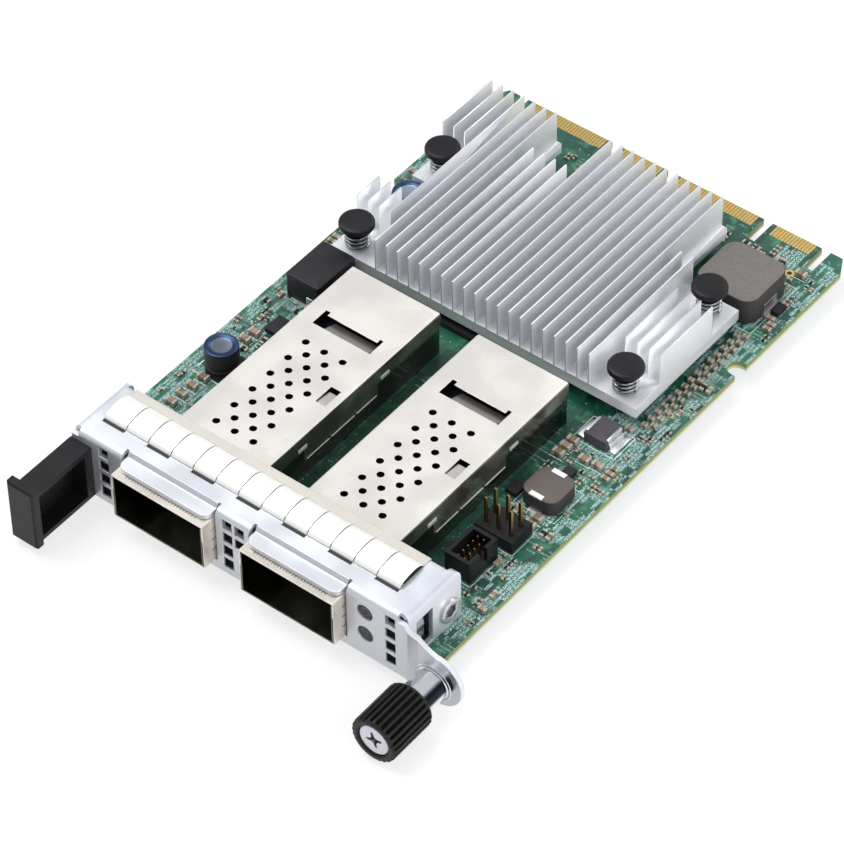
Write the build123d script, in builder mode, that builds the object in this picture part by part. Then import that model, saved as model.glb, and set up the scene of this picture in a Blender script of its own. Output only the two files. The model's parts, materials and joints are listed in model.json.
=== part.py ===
from build123d import *
import math
import os

os.makedirs("parts", exist_ok=True)

# A mezzanine network card with two pluggable-module cages.
# Millimetres. X runs along the faceplate, the gold edge is at Y = 0 and the faceplate
# is towards -Y. Z = 0 is the component side of the board, so the origin is the middle
# of the gold edge. Distances called "at" are measured back from the board's front edge.

# How far a cutting shape runs past what it cuts
past = 1.0

# Board; its length of 115 mm follows from the cages and the heat sink
board_width = 76.0
board_thickness = 1.57
board_corner = 0.6
board_behind_sink = 9.9

# Gold edge: contact groups, counted from -X to +X, with a key slot on each side of each
contact_pitch = 0.6
contact_counts = (28, 14, 28, 14)
contact_pad_width = 0.4
contact_pad_length = 2.6
contact_pad_thickness = 0.04
contact_setback = 0.15
tongue_margin = 1.0
key_slot_width = 1.85
key_slot_depth = 5.7
prong_chamfer_x = 1.7
prong_chamfer_y = 3.2
ejector_notch_width = 3.4
ejector_notch_depth = 2.5
ejector_notch_at = 81.9

# Faceplate, one folded sheet
sheet = 0.9
bend_radius = 1.3
plate_width = 69.1
plate_offset = -0.25
plate_bottom = -2.25
plate_gap = 4.65
flange_depth = 12.6
side_depth = 14.5
side_corner = 2.6
corner_relief = 1.5
fold_seam = 0.2
lip_depth = 3.6
aperture_clearance = 0.45
tongue_clearance = 0.15
tongue_drop = 0.9
tongue_start = 1.85
tongue_length = 3.4
tongue_inset = 0.55
tongue_corner = 1.5
side_slot_at = 0.55
side_slot_width = 4.1
side_slot_low = 0.6
side_slot_high = 8.0

# Holes in the faceplate. A share is the part of the way from the cage's opening to the
# plate's edge on the right, or from the plate's edge to the opening on the left.
vent_square = 2.0
vent_square_height = 2.2
vent_row_pitch = 2.95
vent_row_low = 0.25
vent_rows = 4
vent_column_rows = (4, 4, 2, 4)
vent_left_share = 0.64
vent_middle_offsets = (-1.05, 1.5)
vent_right_share = 0.76
lamp_share = 0.32
lamp_hole_radius = 1.6
lamp_heights = (2.75, 7.75)

# Ear for the thumbscrew
ear_joggle = 0.8
ear_joggle_run = 1.9
ear_radius = 5.1
ear_lean = 0.45
screw_beyond_plate = 5.5
screw_z = 0.4

# Spring clips behind the side slots
side_clip_sheet = 0.25
side_clip_width = 2.4
side_clip_offset = 0.55
side_clip_foot = 2.2
side_clip_bulge = 0.25
side_clip_lean = 0.5
side_clip_above_slot = 0.6

# Spring finger strip on the top flange
strip_sheet = 0.15
strip_fit = 0.05
strip_left_margin = 3.15
strip_right_margin = 4.59
finger_count = 13
finger_gap = 0.2
finger_arch = 1.15
finger_foot_at = 6.4
finger_crown_at = 3.9
finger_brow_at = 1.0
finger_brow_drop = 0.4
finger_tip_at = 0.2
finger_tip_rise = 0.02
strip_band_front_at = 6.3
flange_slot_at = -0.1
flange_slot_width = 0.9
flange_slot_room = 0.08
finger_tuck = 0.15

# Corner blocks and their side screws
block_height = 6.6
block_width = 4.0
block_length = 5.6
block_at = 6.6
block_chamfer = 0.3
block_thread_depth = 2.6
side_screw_z = 3.95
side_screw_radius = 1.25
side_screw_hole_room = 0.2
side_screw_head_radius = 2.35
side_screw_head_height = 0.7
side_screw_length = 3.4
side_recess_radius = 1.15
side_recess_sides = 6
side_recess_depth = 0.6

# Pull tab on the left of the faceplate
tab_from_plate_left = 2.0
tab_width = 4.4
tab_height = 11.1
tab_bottom = -2.1
tab_length = 12.8
tab_wall = 0.95
tab_root = 1.7
grip_thickness = 1.7
grip_side = 1.2
grip_over = 0.6
grip_under = 1.1
grip_chamfer = 0.35
tab_screw_radius = 1.0
tab_screw_fit = 0.02
tab_screw_head_radius = 1.25
tab_screw_head_shift = 0.45
tab_screw_head_height = 0.8
tab_screw_length = 2.3
tab_screw_room = 0.2
tab_screw_inset = 2.9

# Captive thumbscrew on the ear
screw_radius = 1.5
screw_travel = 4.5
screw_stickout = 1.3
screw_head_radius = 2.85
screw_head_height = 1.6
screw_groove_depth = 0.35
screw_groove_fit = 0.04
screw_cross_length = 3.0
screw_cross_width = 0.7
screw_cross_depth = 0.9
knob_radius = 4.35
knob_length = 9.8
knob_groove_depth = 0.3
knob_groove_width = 0.55
knob_grooves = 20
knob_face_recess = 0.3
knob_inside_clearance = 0.1
knob_bore_room = 0.3
ferrule_radius = 3.0
ferrule_bore_radius = 2.4
ferrule_shown = 6.0
ferrule_engaged = 1.2
ferrule_flange_radius = 3.7
ferrule_flange_height = 0.8
ferrule_shank_radius = 2.2
ferrule_shank_fit = 0.05
ferrule_rear_lip = 0.5
ferrule_floor = 0.8
running_clearance = 0.06
ring_thickness = 0.5
ring_radius = 1.7
ring_opening = 1.5
spring_wire = 0.36
spring_turns = 6
spring_end_gap = 0.05
spring_sides = 8
wire_sides = 4

# Module cages
cage_width = 19.05
cage_height = 9.23
cage_length = 61.9
cage_front_at = -7.5
cage_centres = {"left": -14.2, "right": 12.7}
cage_fit = 0.02
cover_sheet = 0.15
cover_fold = 0.4
cover_rear_low = 0.3
tub_sheet = 0.2
tub_rim_drop = 0.4
skirt_low = 3.55
skirt_high = 6.1
skirt_start_at = 18.5
skirt_end_from_back = 17.0
air_hole_radius = 0.7
air_hole_sides = 6
air_hole_pitch_x = 3.95
air_hole_first_at = 12.3
air_hole_last_from_back = 19.0
air_hole_offset = -0.15
air_hole_rows = 3
air_holes_in_row = 6
cover_slot_from_back = 13.3
cover_slot_margin = 3.375
cover_slot_width = 2.9
cover_window_from_back = 26.6
cover_window_margin = 2.575
cover_window_width = 2.05
cover_window_length = 4.2
cage_leg_width = 1.0
cage_leg_first_ats = (10.0, 29.0)
cage_leg_last_from_back = 6.4
cage_leg_clearance = 0.1
cage_leg_below_board = 0.4
collar_sheet = 0.12
collar_length = 4.1
collar_finger_start = 2.1
collar_slit = 0.25
collar_slits_top = 11
collar_slits_side = 3

# Module connectors inside the cages
host_side_gap = 1.355
host_height = 6.6
host_length = 8.0
host_from_back = 15.8
host_chamfer = 0.6
host_slot_margin = 1.1
host_slot_height = 1.2
host_slot_depth = 5.0
host_slot_z = 3.9

# Heat sink. Fins are counted in groups from left to right; a group shares its stretches.
cage_to_sink = 5.6
sink_front_least_at = 60.0
sink_length = 45.1
sink_from_board_left = 5.0
sink_from_board_right = 6.05
sink_base_low = 2.4
sink_base_thickness = 2.2
sink_notch_start = 13.5
sink_notch_length = 9.0
sink_notch_depth = 5.6
sink_middle_cut = 9.9
sink_right_cut = 15.5
fin_top = 11.3
fin_thickness = 0.55
fin_groups = (3, 1, 3, 4, 11, 2, 4)
fin_notch_gap = 0.3
ledge_behind_pin = 4.1
ledge_before_pin = 5.1

# Push pins and their springs
pin_from_sink_left = 3.4
pin_from_sink_right = 4.35
pin_rows_from_sink_front = (3.0, 26.9)
pin_cap_radius = 3.2
pin_cap_thickness = 1.3
pin_shank_radius = 1.3
pin_top = 10.2
pin_hole_clearance = 0.2
pin_barb_radius = 1.75
pin_barb_tip_radius = 0.8
pin_barb_thickness = 1.8
pin_barb_height = 1.1
pin_barb_gap = 0.05
pin_spring_radius = 2.0
pin_spring_wire = 0.42
pin_spring_turns = 4
pin_spring_sides = 6

# Main chip under the heat sink
chip_side = 31.0
chip_height = 1.1
die_side = 19.0
die_height = 0.9

# Light pipes behind the two round holes
pipe_fit = 0.05
pipe_setback = 0.3
pipe_body_front_at = 1.1
pipe_body_back_at = 3.5

# Round cans: the first beside the left cage, the second in the heat sink's notch
can_first_spot = (-30.3, 29.2)
can_second_from_sink = (1.3, 18.2)
can_radius = 3.05
can_height = 5.4
can_base_side = 6.6
can_base_height = 0.8
can_base_chamfer = 0.9

# Inductors stand on terminals this high
coil_lift = 0.3
square_coil_spot = (-30.75, 54.4)
square_coil_size = (7.2, 10.3)
square_coil_height = 5.4
square_coil_corner = 0.5
square_coil_chamfer = 0.3
large_coil_from_sink = (4.05, 37.0)
large_coil_size = (11.0, 12.2)
large_coil_height = 5.5
large_coil_corner = 3.2
large_coil_chamfer = 0.35
small_coil_spot = (30.1, 38.6)
small_coil_side = 7.2
small_coil_height = 3.2
small_coil_corner = 2.1
square_terminal = (4.7, 2.0)
square_terminal_inset = 0.75
large_terminal = (2.6, 4.0)
large_terminal_inset = 1.0
small_terminal = (2.4, 1.6)
small_terminal_inset = 0.3

# Power package with a lead on each side
power_spot = (29.1, 55.1)
power_size = (4.7, 5.2)
power_height = 2.2
power_lift = 0.15
power_chamfer = 0.25
lead_size = (1.6, 2.2)
lead_height = 1.1

# Small black chips: place and size
chip_spots = ((-30.3, 42.1), (29.6, 44.8), (24.8, 36.6))
chip_sizes = ((2.5, 3.9), (1.8, 2.0), (2.2, 2.6))
rear_chip_from_sink = (3.1, 37.4)
rear_chip_size = (1.6, 2.6)
small_chip_height = 1.0

# Pin header: a block with two rows of tall pins
header_spot = (29.0, 27.8)
header_pitch = 2.54
header_columns = 3
header_rows = 2
header_block_margin = 0.3
header_block_height = 2.5
header_pin_height = 8.0
header_pin_side = 0.64

# Box header: a shroud round two rows of fine pins
box_spot = (29.0, 19.3)
box_pitch = 1.27
box_columns = 2
box_rows = 5
box_size = (5.1, 7.4)
box_height = 4.6
box_wall = 0.7
box_floor = 1.6
box_key_width = 1.8
box_pin_side = 0.4
box_pin_height = 4.1

# Ceramic capacitors lying on the board, and a row of smaller ones beside the heat sink
ceramic_size = (2.4, 1.6)
ceramic_height = 1.3
ceramic_beside_cages = (
    (-33.0, 17.4),
    (-32.8, 19.9),
    (-32.6, 22.4),
    (-32.4, 25.0),
    (-32.8, 36.4),
    (-32.5, 38.6),
    (25.4, 47.5),
    (25.5, 49.4),
    (25.6, 51.2),
    (29.8, 48.8),
    (32.4, 49.0),
    (31.5, 31.6),
    (31.6, 33.5),
)
rear_ceramic_from_sink = (5.0, 47.0)
row_size = (1.9, 1.1)
row_height = 0.9
row_pitch = 1.9
row_count = 15
row_from_board_right = 4.4
row_middle_from_sink = 15.0

# Decoupling capacitors on the solder side, under the main chip
under_size = (1.0, 0.5)
under_height = 0.5
under_pitch = 4.5
under_grid = 3


# Positions that follow from the sizes above
cage_back_at = cage_front_at + cage_length
sink_front_at = max(sink_front_least_at, cage_back_at + cage_to_sink)
sink_back_at = sink_front_at + sink_length
board_length = sink_back_at + board_behind_sink
front = -board_length
board_right = board_width / 2


def from_front(at):
    """Y of a place measured back from the board's front edge."""
    return front + at


def on_board(spot):
    """Point on the board for a place given as X and a distance from the front edge."""
    x, at = spot
    return (x, from_front(at))


def coil_points(radius, length, turns, sides):
    """Corners of a many-sided coil about +Z, from Z = 0 up."""
    count = turns * sides
    step = 2 * math.pi / sides
    return [
        (radius * math.cos(i * step), radius * math.sin(i * step), length * i / count)
        for i in range(count + 1)
    ]


def spread(count, pitch):
    """Places of count items about zero, one pitch apart."""
    return [(i - (count - 1) / 2) * pitch for i in range(count)]


def level(z):
    """Level plane at this height; its sketch axes are X and Y."""
    return Plane.XY.offset(z)


def facing_front(y):
    """Plane across the card's length, facing the faceplate; its axes are X and Z."""
    return Plane.XZ.offset(-y)


def facing_right(x):
    """Plane along the card, facing +X; its sketch axes are Y and Z."""
    return Plane.YZ.offset(x)


plate_left = plate_offset - plate_width / 2
plate_right = plate_offset + plate_width / 2
plate_top = cage_height + collar_sheet + tongue_clearance + sheet + tongue_drop
plate_front = front - plate_gap
plate_back = plate_front + sheet
flange_back = plate_front + flange_depth
side_back = plate_front + side_depth
ear_front = plate_front + ear_joggle
ear_back = ear_front + sheet
screw_x = plate_right + screw_beyond_plate
tab_x = plate_left + tab_from_plate_left
aperture_width = cage_width + 2 * aperture_clearance
cage_front = from_front(cage_front_at)
cage_back = from_front(cage_back_at)
tub_width = cage_width - 2 * cover_sheet - 2 * cage_fit
tub_height = cage_height - cover_sheet - tub_rim_drop
block_y = from_front(block_at)
block_xs = (plate_left + sheet + block_width / 2, plate_right - sheet - block_width / 2)
sink_left = -board_right + sink_from_board_left
sink_right = board_right - sink_from_board_right
base_top = sink_base_low + sink_base_thickness
pin_xs = (sink_left + pin_from_sink_left, sink_right - pin_from_sink_right)
pin_ats = [sink_front_at + distance for distance in pin_rows_from_sink_front]
pin_spots = [(x, from_front(at)) for x in pin_xs for at in pin_ats]
chip_x = sum(pin_xs) / 2
chip_y = from_front(sum(pin_ats) / 2)

# Faceplate holes between the cage openings and the plate's edges
opening_left = cage_centres["left"] - aperture_width / 2
opening_right = cage_centres["right"] + aperture_width / 2
opening_middle = sum(cage_centres.values()) / 2
vent_xs = [plate_left + vent_left_share * (opening_left - plate_left)]
vent_xs += [opening_middle + offset for offset in vent_middle_offsets]
vent_xs.append(opening_right + vent_right_share * (plate_right - opening_right))
vent_points = [
    (x, vent_row_low + vent_row_pitch * (vent_rows - 1 - row))
    for x, rows in zip(vent_xs, vent_column_rows)
    for row in range(rows)
]
lamp_x = opening_right + lamp_share * (plate_right - opening_right)
tab_screw_zs = (tab_bottom + tab_screw_inset, tab_bottom + tab_height - tab_screw_inset)

# Gold edge layout: tongue widths from the contact counts, slots between and outside them
tongue_widths = [count * contact_pitch + 2 * tongue_margin for count in contact_counts]
edge_width = sum(tongue_widths) + key_slot_width * (len(contact_counts) - 1)
tongue_starts = []
edge_x = -edge_width / 2
for width in tongue_widths:
    tongue_starts.append(edge_x)
    edge_x += width + key_slot_width
slot_xs = [start - key_slot_width / 2 for start in tongue_starts]
slot_xs.append(edge_width / 2 + key_slot_width / 2)

# Cage legs, which press into the board under the tubs' walls
cage_leg_ats = [*cage_leg_first_ats, cage_back_at - cage_leg_last_from_back]
cage_leg_points = {
    side: [
        (centre + direction * (tub_width - tub_sheet) / 2, from_front(at))
        for direction in (-1, 1)
        for at in cage_leg_ats
    ]
    for side, centre in cage_centres.items()
}

# Circuit board
with BuildPart() as circuit_board:
    with BuildSketch(level(-board_thickness)):
        with Locations((0, front / 2)):
            Rectangle(board_width, board_length)
        front_corners = vertices().group_by(Axis.Y)[0]
        fillet(front_corners, board_corner)
        with Locations(*[(x, -key_slot_depth / 2) for x in slot_xs]):
            Rectangle(key_slot_width, key_slot_depth, mode=Mode.SUBTRACT)
        for direction in (-1, 1):
            with BuildLine():
                Polyline(
                    (direction * board_right, 0),
                    (direction * (board_right - prong_chamfer_x), 0),
                    (direction * board_right, -prong_chamfer_y),
                    close=True,
                )
            make_face(mode=Mode.SUBTRACT)
            with Locations((direction * board_right, from_front(ejector_notch_at))):
                SlotOverall(
                    2 * ejector_notch_depth, ejector_notch_width, mode=Mode.SUBTRACT
                )
        with Locations(*pin_spots):
            Circle(pin_shank_radius + pin_hole_clearance, mode=Mode.SUBTRACT)
        with Locations(*cage_leg_points["left"], *cage_leg_points["right"]):
            Rectangle(
                tub_sheet + 2 * cage_leg_clearance,
                cage_leg_width + 2 * cage_leg_clearance,
                mode=Mode.SUBTRACT,
            )
    extrude(amount=board_thickness)
circuit_board.part.label = "circuit_board"
export_step(circuit_board.part, "parts/circuit_board.step")

# Gold contacts on the edge's component side
contact_y = -contact_setback - contact_pad_length / 2
contact_points = [
    (start + width / 2 + x, contact_y)
    for start, width, count in zip(tongue_starts, tongue_widths, contact_counts)
    for x in spread(count, contact_pitch)
]
with BuildPart() as edge_contacts:
    with BuildSketch():
        with Locations(*contact_points):
            Rectangle(contact_pad_width, contact_pad_length)
    extrude(amount=contact_pad_thickness)
edge_contacts.part.label = "edge_contacts"
export_step(edge_contacts.part, "parts/edge_contacts.step")

# The faceplate's ear: a strip that steps back, trimmed to its outline seen from the front
ear_low = screw_z - ear_radius
ear_high = plate_top - bend_radius
ear_top_left = (plate_right - sheet, ear_high)
ear_top_right = (plate_right, ear_high)
ear_shoulder = (screw_x, screw_z + ear_radius)
ear_foot = (screw_x, ear_low)
ear_bottom_right = (plate_right, plate_bottom)
ear_bottom_left = (plate_right - sheet, plate_bottom)
with BuildPart() as ear:
    with BuildSketch(level(ear_low)):
        with BuildLine():
            Polyline(
                (plate_right - sheet, plate_front + sheet / 2),
                (plate_right + sheet / 2, plate_front + sheet / 2),
                (plate_right + ear_joggle_run, ear_front + sheet / 2),
                (screw_x + ear_radius + past, ear_front + sheet / 2),
            )
        trace(line_width=sheet)
    extrude(amount=ear_high - ear_low)
    with BuildSketch(facing_front(ear_back)):
        with BuildLine():
            Polyline(ear_bottom_right, ear_bottom_left, ear_top_left, ear_top_right)
            TangentArc(ear_top_right, ear_shoulder, tangent=(ear_lean, -1))
            RadiusArc(ear_shoulder, ear_foot, ear_radius)
            Line(ear_foot, ear_bottom_right)
        make_face()
        with Locations((screw_x, screw_z)):
            Circle(ferrule_shank_radius + ferrule_shank_fit, mode=Mode.SUBTRACT)
    extrude(amount=2 * (sheet + ear_joggle), both=True, mode=Mode.INTERSECT)

# Spring finger places, which the slots in the flange follow
strip_left = plate_left + strip_left_margin
strip_width = plate_width - strip_left_margin - strip_right_margin
finger_pitch = (strip_width + finger_gap) / finger_count
finger_width = finger_pitch - finger_gap
finger_lefts = [strip_left + i * finger_pitch for i in range(finger_count)]
flange_slot_points = [
    (left + finger_width / 2, from_front(flange_slot_at)) for left in finger_lefts[::2]
]

# Faceplate
with BuildPart() as faceplate:
    # front wall and top flange
    with BuildSketch(facing_right(plate_left + corner_relief)):
        with BuildLine():
            FilletPolyline(
                (plate_front + sheet / 2, plate_bottom),
                (plate_front + sheet / 2, plate_top - sheet / 2),
                (flange_back, plate_top - sheet / 2),
                radius=bend_radius - sheet / 2,
            )
        trace(line_width=sheet)
        with Locations((plate_front + lip_depth / 2, plate_bottom + sheet / 2)):
            Rectangle(lip_depth, sheet)
    extrude(amount=plate_width - 2 * corner_relief)
    with BuildSketch(facing_front(plate_back)):
        with Locations((plate_offset, (plate_bottom + plate_top - bend_radius) / 2)):
            Rectangle(plate_width, plate_top - bend_radius - plate_bottom)
    extrude(amount=sheet)
    # side plates, folded down from the flange
    with BuildSketch(facing_front(side_back)):
        with BuildLine():
            FilletPolyline(
                (plate_left + sheet / 2, 0),
                (plate_left + sheet / 2, plate_top - sheet / 2),
                (plate_right - sheet / 2, plate_top - sheet / 2),
                (plate_right - sheet / 2, 0),
                radius=bend_radius - sheet / 2,
            )
        trace(line_width=sheet)
    extrude(amount=side_depth - sheet - fold_seam)
    with BuildSketch(level(plate_top - bend_radius)):
        with Locations((plate_offset, flange_back + side_depth / 2)):
            Rectangle(plate_width - 2 * bend_radius, side_depth)
    extrude(amount=bend_radius, mode=Mode.SUBTRACT)
    corner_start = (side_back - side_corner, plate_top)
    corner_end = (side_back, plate_top - side_corner)
    with BuildSketch(facing_right(plate_left)):
        with BuildLine():
            RadiusArc(corner_start, corner_end, side_corner)
            Polyline(
                corner_end,
                (side_back + past, plate_top - side_corner),
                (side_back + past, plate_top + past),
                (side_back - side_corner, plate_top + past),
                corner_start,
            )
        make_face()
    extrude(amount=plate_width, mode=Mode.SUBTRACT)
    # module apertures, open at the top, with the flange's tongues over the cages
    tongue_back = plate_front + tongue_start
    tongue_z = plate_top - tongue_drop - sheet / 2
    aperture_height = plate_top + past + aperture_clearance
    with BuildSketch(facing_front(tongue_back)):
        with Locations(
            *[(x, aperture_height / 2 - aperture_clearance) for x in cage_centres.values()]
        ):
            Rectangle(aperture_width, aperture_height)
    extrude(amount=tongue_start + past, mode=Mode.SUBTRACT)
    for centre in cage_centres.values():
        with BuildSketch(facing_right(centre - aperture_width / 2 + tongue_inset)):
            with BuildLine():
                Polyline(
                    (tongue_back + sheet, plate_top - sheet / 2),
                    (tongue_back, plate_top - sheet / 2),
                    (tongue_back - sheet / 2, tongue_z),
                    (tongue_back - tongue_length, tongue_z),
                )
            trace(line_width=sheet)
        extrude(amount=aperture_width - 2 * tongue_inset)
    tongue_ends = edges().filter_by(Axis.Z).group_by(Axis.Y)[0]
    fillet(tongue_ends, tongue_corner)
    # slots for the spring fingers
    with BuildSketch(level(plate_top)):
        with Locations(*flange_slot_points):
            Rectangle(finger_width + 2 * flange_slot_room, flange_slot_width)
    extrude(amount=-sheet, mode=Mode.SUBTRACT)
    # square air holes, indicator holes and the pull tab's screw holes
    with BuildSketch(facing_front(plate_back)):
        with Locations(*vent_points):
            Rectangle(vent_square, vent_square_height)
        with Locations(*[(lamp_x, z) for z in lamp_heights]):
            Circle(lamp_hole_radius)
        with Locations(*[(tab_x, z) for z in tab_screw_zs]):
            Circle(tab_screw_radius)
    extrude(amount=sheet, mode=Mode.SUBTRACT)
    # side slots and side screw holes
    side_slot_y = from_front(side_slot_at)
    side_slot_z = (side_slot_low + side_slot_high) / 2
    with BuildSketch(facing_right(plate_left)):
        with Locations((side_slot_y, side_slot_z)):
            Rectangle(side_slot_width, side_slot_high - side_slot_low)
        with Locations((block_y, side_screw_z)):
            Circle(side_screw_radius + side_screw_hole_room)
    extrude(amount=plate_width, mode=Mode.SUBTRACT)
    add(ear.part)
faceplate.part.label = "faceplate"
export_step(faceplate.part, "parts/faceplate.step")

# Spring finger strip: a clip on the flange's back edge with arched fingers, of which
# every second one is tucked through a slot in the flange
strip_z = plate_top + strip_fit + strip_sheet / 2
strip_under = plate_top - sheet - strip_fit - strip_sheet / 2
strip_back = flange_back + strip_fit + strip_sheet / 2
band_front = from_front(strip_band_front_at)
finger_foot = (from_front(finger_foot_at), strip_z)
finger_crown = (from_front(finger_crown_at), strip_z + finger_arch)
finger_brow = (from_front(finger_brow_at), strip_z + finger_arch - finger_brow_drop)
finger_tip = (from_front(finger_tip_at), strip_z + finger_tip_rise)
finger_end = (from_front(finger_tip_at), plate_top - sheet - finger_tuck)
with BuildPart() as emi_finger_strip:
    with BuildSketch(facing_right(strip_left)):
        with BuildLine():
            Polyline(
                (band_front, strip_under),
                (strip_back, strip_under),
                (strip_back, strip_z),
                (band_front, strip_z),
            )
        trace(line_width=strip_sheet)
    extrude(amount=strip_width)
    for place, left in enumerate(finger_lefts):
        with BuildSketch(facing_right(left)):
            with BuildLine():
                TangentArc(finger_crown, finger_foot, tangent=(1, 0))
                arch = TangentArc(finger_crown, finger_brow, tangent=(-1, 0))
                TangentArc(finger_brow, finger_tip, tangent=arch % 1)
                if place % 2 == 0:
                    Line(finger_tip, finger_end)
            trace(line_width=strip_sheet)
        extrude(amount=finger_width)
emi_finger_strip.part.label = "emi_finger_strip"
export_step(emi_finger_strip.part, "parts/emi_finger_strip.step")

# Ground clips inside the faceplate's side slots
clip_xs = (plate_left + sheet + side_clip_offset, plate_right - sheet - side_clip_offset)
with BuildPart() as side_ground_clips:
    for x, outward in zip(clip_xs, (-1, 1)):
        with BuildSketch(facing_front(side_slot_y + side_clip_width / 2)):
            with BuildLine():
                Polyline(
                    (x - outward * side_clip_foot, side_clip_sheet / 2),
                    (x, side_clip_sheet / 2),
                    (x + outward * side_clip_bulge, side_slot_z),
                    (x - outward * side_clip_lean, side_slot_high + side_clip_above_slot),
                )
            trace(line_width=side_clip_sheet)
        extrude(amount=side_clip_width)
side_ground_clips.part.label = "side_ground_clips"
export_step(side_ground_clips.part, "parts/side_ground_clips.step")

# Corner blocks soldered to the board, which the faceplate's side screws go into
with BuildPart() as corner_blocks:
    for x in block_xs:
        with BuildSketch():
            with Locations((x, block_y)):
                Rectangle(block_width, block_length)
        extrude(amount=block_height)
    top_edges = edges().filter_by(Plane.XY).group_by(Axis.Z)[-1]
    chamfer(top_edges, block_chamfer)
    for x, outward in zip(block_xs, (-1, 1)):
        with BuildSketch(facing_right(x + outward * block_width / 2)):
            with Locations((block_y, side_screw_z)):
                Circle(side_screw_radius)
        extrude(amount=-outward * block_thread_depth, mode=Mode.SUBTRACT)
corner_blocks.part.label = "corner_blocks"
export_step(corner_blocks.part, "parts/corner_blocks.step")

# Side screws with a drive recess
with BuildPart() as side_screws:
    for x, outward in ((plate_left, -1), (plate_right, 1)):
        with BuildSketch(facing_right(x)):
            with Locations((block_y, side_screw_z)):
                Circle(side_screw_head_radius)
        extrude(amount=outward * side_screw_head_height)
        with BuildSketch(facing_right(x)):
            with Locations((block_y, side_screw_z)):
                Circle(side_screw_radius)
        extrude(amount=-outward * side_screw_length)
        with BuildSketch(facing_right(x + outward * side_screw_head_height)):
            with Locations((block_y, side_screw_z)):
                RegularPolygon(side_recess_radius, side_recess_sides)
        extrude(amount=-outward * side_recess_depth, mode=Mode.SUBTRACT)
side_screws.part.label = "side_screws"
export_step(side_screws.part, "parts/side_screws.step")

# Pull tab: a channel with a root pad and a grip flange
tab_front = plate_front - tab_length
tab_z = tab_bottom + tab_height / 2
with BuildPart() as pull_tab:
    with BuildSketch(facing_front(plate_front)):
        with Locations((tab_x, tab_z)):
            Rectangle(tab_width, tab_height)
    extrude(amount=tab_length)
    with BuildSketch(facing_front(plate_front - tab_root)):
        with Locations((tab_x + tab_wall / 2, tab_z)):
            Rectangle(tab_width - tab_wall, tab_height - 2 * tab_wall)
    extrude(amount=tab_length - tab_root, mode=Mode.SUBTRACT)
    with BuildSketch(facing_front(tab_front)):
        with Locations((tab_x - grip_side / 2, tab_z + (grip_over - grip_under) / 2)):
            Rectangle(tab_width + grip_side, tab_height + grip_over + grip_under)
    extrude(amount=grip_thickness)
    chamfer(faces().sort_by(Axis.Y)[0].edges(), grip_chamfer)
    with BuildSketch(facing_front(plate_front)):
        with Locations(*[(tab_x, z) for z in tab_screw_zs]):
            Circle(tab_screw_radius)
    extrude(amount=tab_screw_length - sheet + tab_screw_room, mode=Mode.SUBTRACT)
pull_tab.part.label = "pull_tab"
export_step(pull_tab.part, "parts/pull_tab.step")

# Screws that hold the pull tab, from behind the faceplate
with BuildPart() as tab_screws:
    with BuildSketch(facing_front(plate_back)):
        with Locations(*[(tab_x, z) for z in tab_screw_zs]):
            Circle(tab_screw_radius - tab_screw_fit)
    extrude(amount=tab_screw_length)
    with BuildSketch(facing_front(plate_back)):
        with Locations(*[(tab_x + tab_screw_head_shift, z) for z in tab_screw_zs]):
            Circle(tab_screw_head_radius)
    extrude(amount=-tab_screw_head_height)
tab_screws.part.label = "tab_screws"
export_step(tab_screws.part, "parts/tab_screws.step")

# Captive thumbscrew
screw_axis = Plane((screw_x, 0, screw_z), x_dir=(1, 0, 0), z_dir=(0, -1, 0))


def on_screw(y):
    """Plane across the screw's axis at Y, facing the operator."""
    return screw_axis.offset(-y)


knob_back = ear_front - ferrule_shown
knob_front = knob_back - knob_length
screw_face = knob_front + knob_face_recess
head_back = screw_face + screw_head_height
ferrule_front = knob_back - ferrule_engaged
bore_depth = ferrule_engaged + screw_travel + knob_bore_room
web_y = knob_back - bore_depth
ring_front = ear_back + ferrule_rear_lip
ring_back = ring_front + ring_thickness
screw_tip = ring_back + screw_stickout
groove_radius = screw_radius - screw_groove_depth

with BuildPart() as thumbscrew_ferrule:
    with BuildSketch(on_screw(ear_front)):
        Circle(ferrule_radius)
    extrude(amount=ear_front - ferrule_front)
    with BuildSketch(on_screw(ear_front)):
        Circle(ferrule_flange_radius)
    extrude(amount=ferrule_flange_height)
    with BuildSketch(on_screw(ear_back + ferrule_rear_lip)):
        Circle(ferrule_shank_radius)
    extrude(amount=sheet + ferrule_rear_lip)
    with BuildSketch(on_screw(ferrule_front)):
        Circle(ferrule_bore_radius)
    extrude(amount=-(ear_front - ferrule_front - ferrule_floor), mode=Mode.SUBTRACT)
    with BuildSketch(on_screw(ferrule_front)):
        Circle(screw_radius + running_clearance)
    extrude(amount=-(ring_front - ferrule_front + past), mode=Mode.SUBTRACT)
thumbscrew_ferrule.part.label = "thumbscrew_ferrule"
export_step(thumbscrew_ferrule.part, "parts/thumbscrew_ferrule.step")

with BuildPart() as thumbscrew:
    with BuildSketch(on_screw(screw_tip)):
        Circle(screw_radius)
    extrude(amount=screw_tip - head_back)
    with BuildSketch(on_screw(head_back)):
        Circle(screw_head_radius)
    extrude(amount=screw_head_height)
    with BuildSketch(on_screw(screw_face)):
        Rectangle(screw_cross_length, screw_cross_width)
        Rectangle(screw_cross_width, screw_cross_length)
    extrude(amount=-screw_cross_depth, mode=Mode.SUBTRACT)
    with BuildSketch(on_screw(ring_back + screw_groove_fit)):
        Circle(screw_radius + past)
        Circle(groove_radius, mode=Mode.SUBTRACT)
    extrude(amount=ring_thickness + 2 * screw_groove_fit, mode=Mode.SUBTRACT)
thumbscrew.part.label = "thumbscrew"
export_step(thumbscrew.part, "parts/thumbscrew.step")

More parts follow.
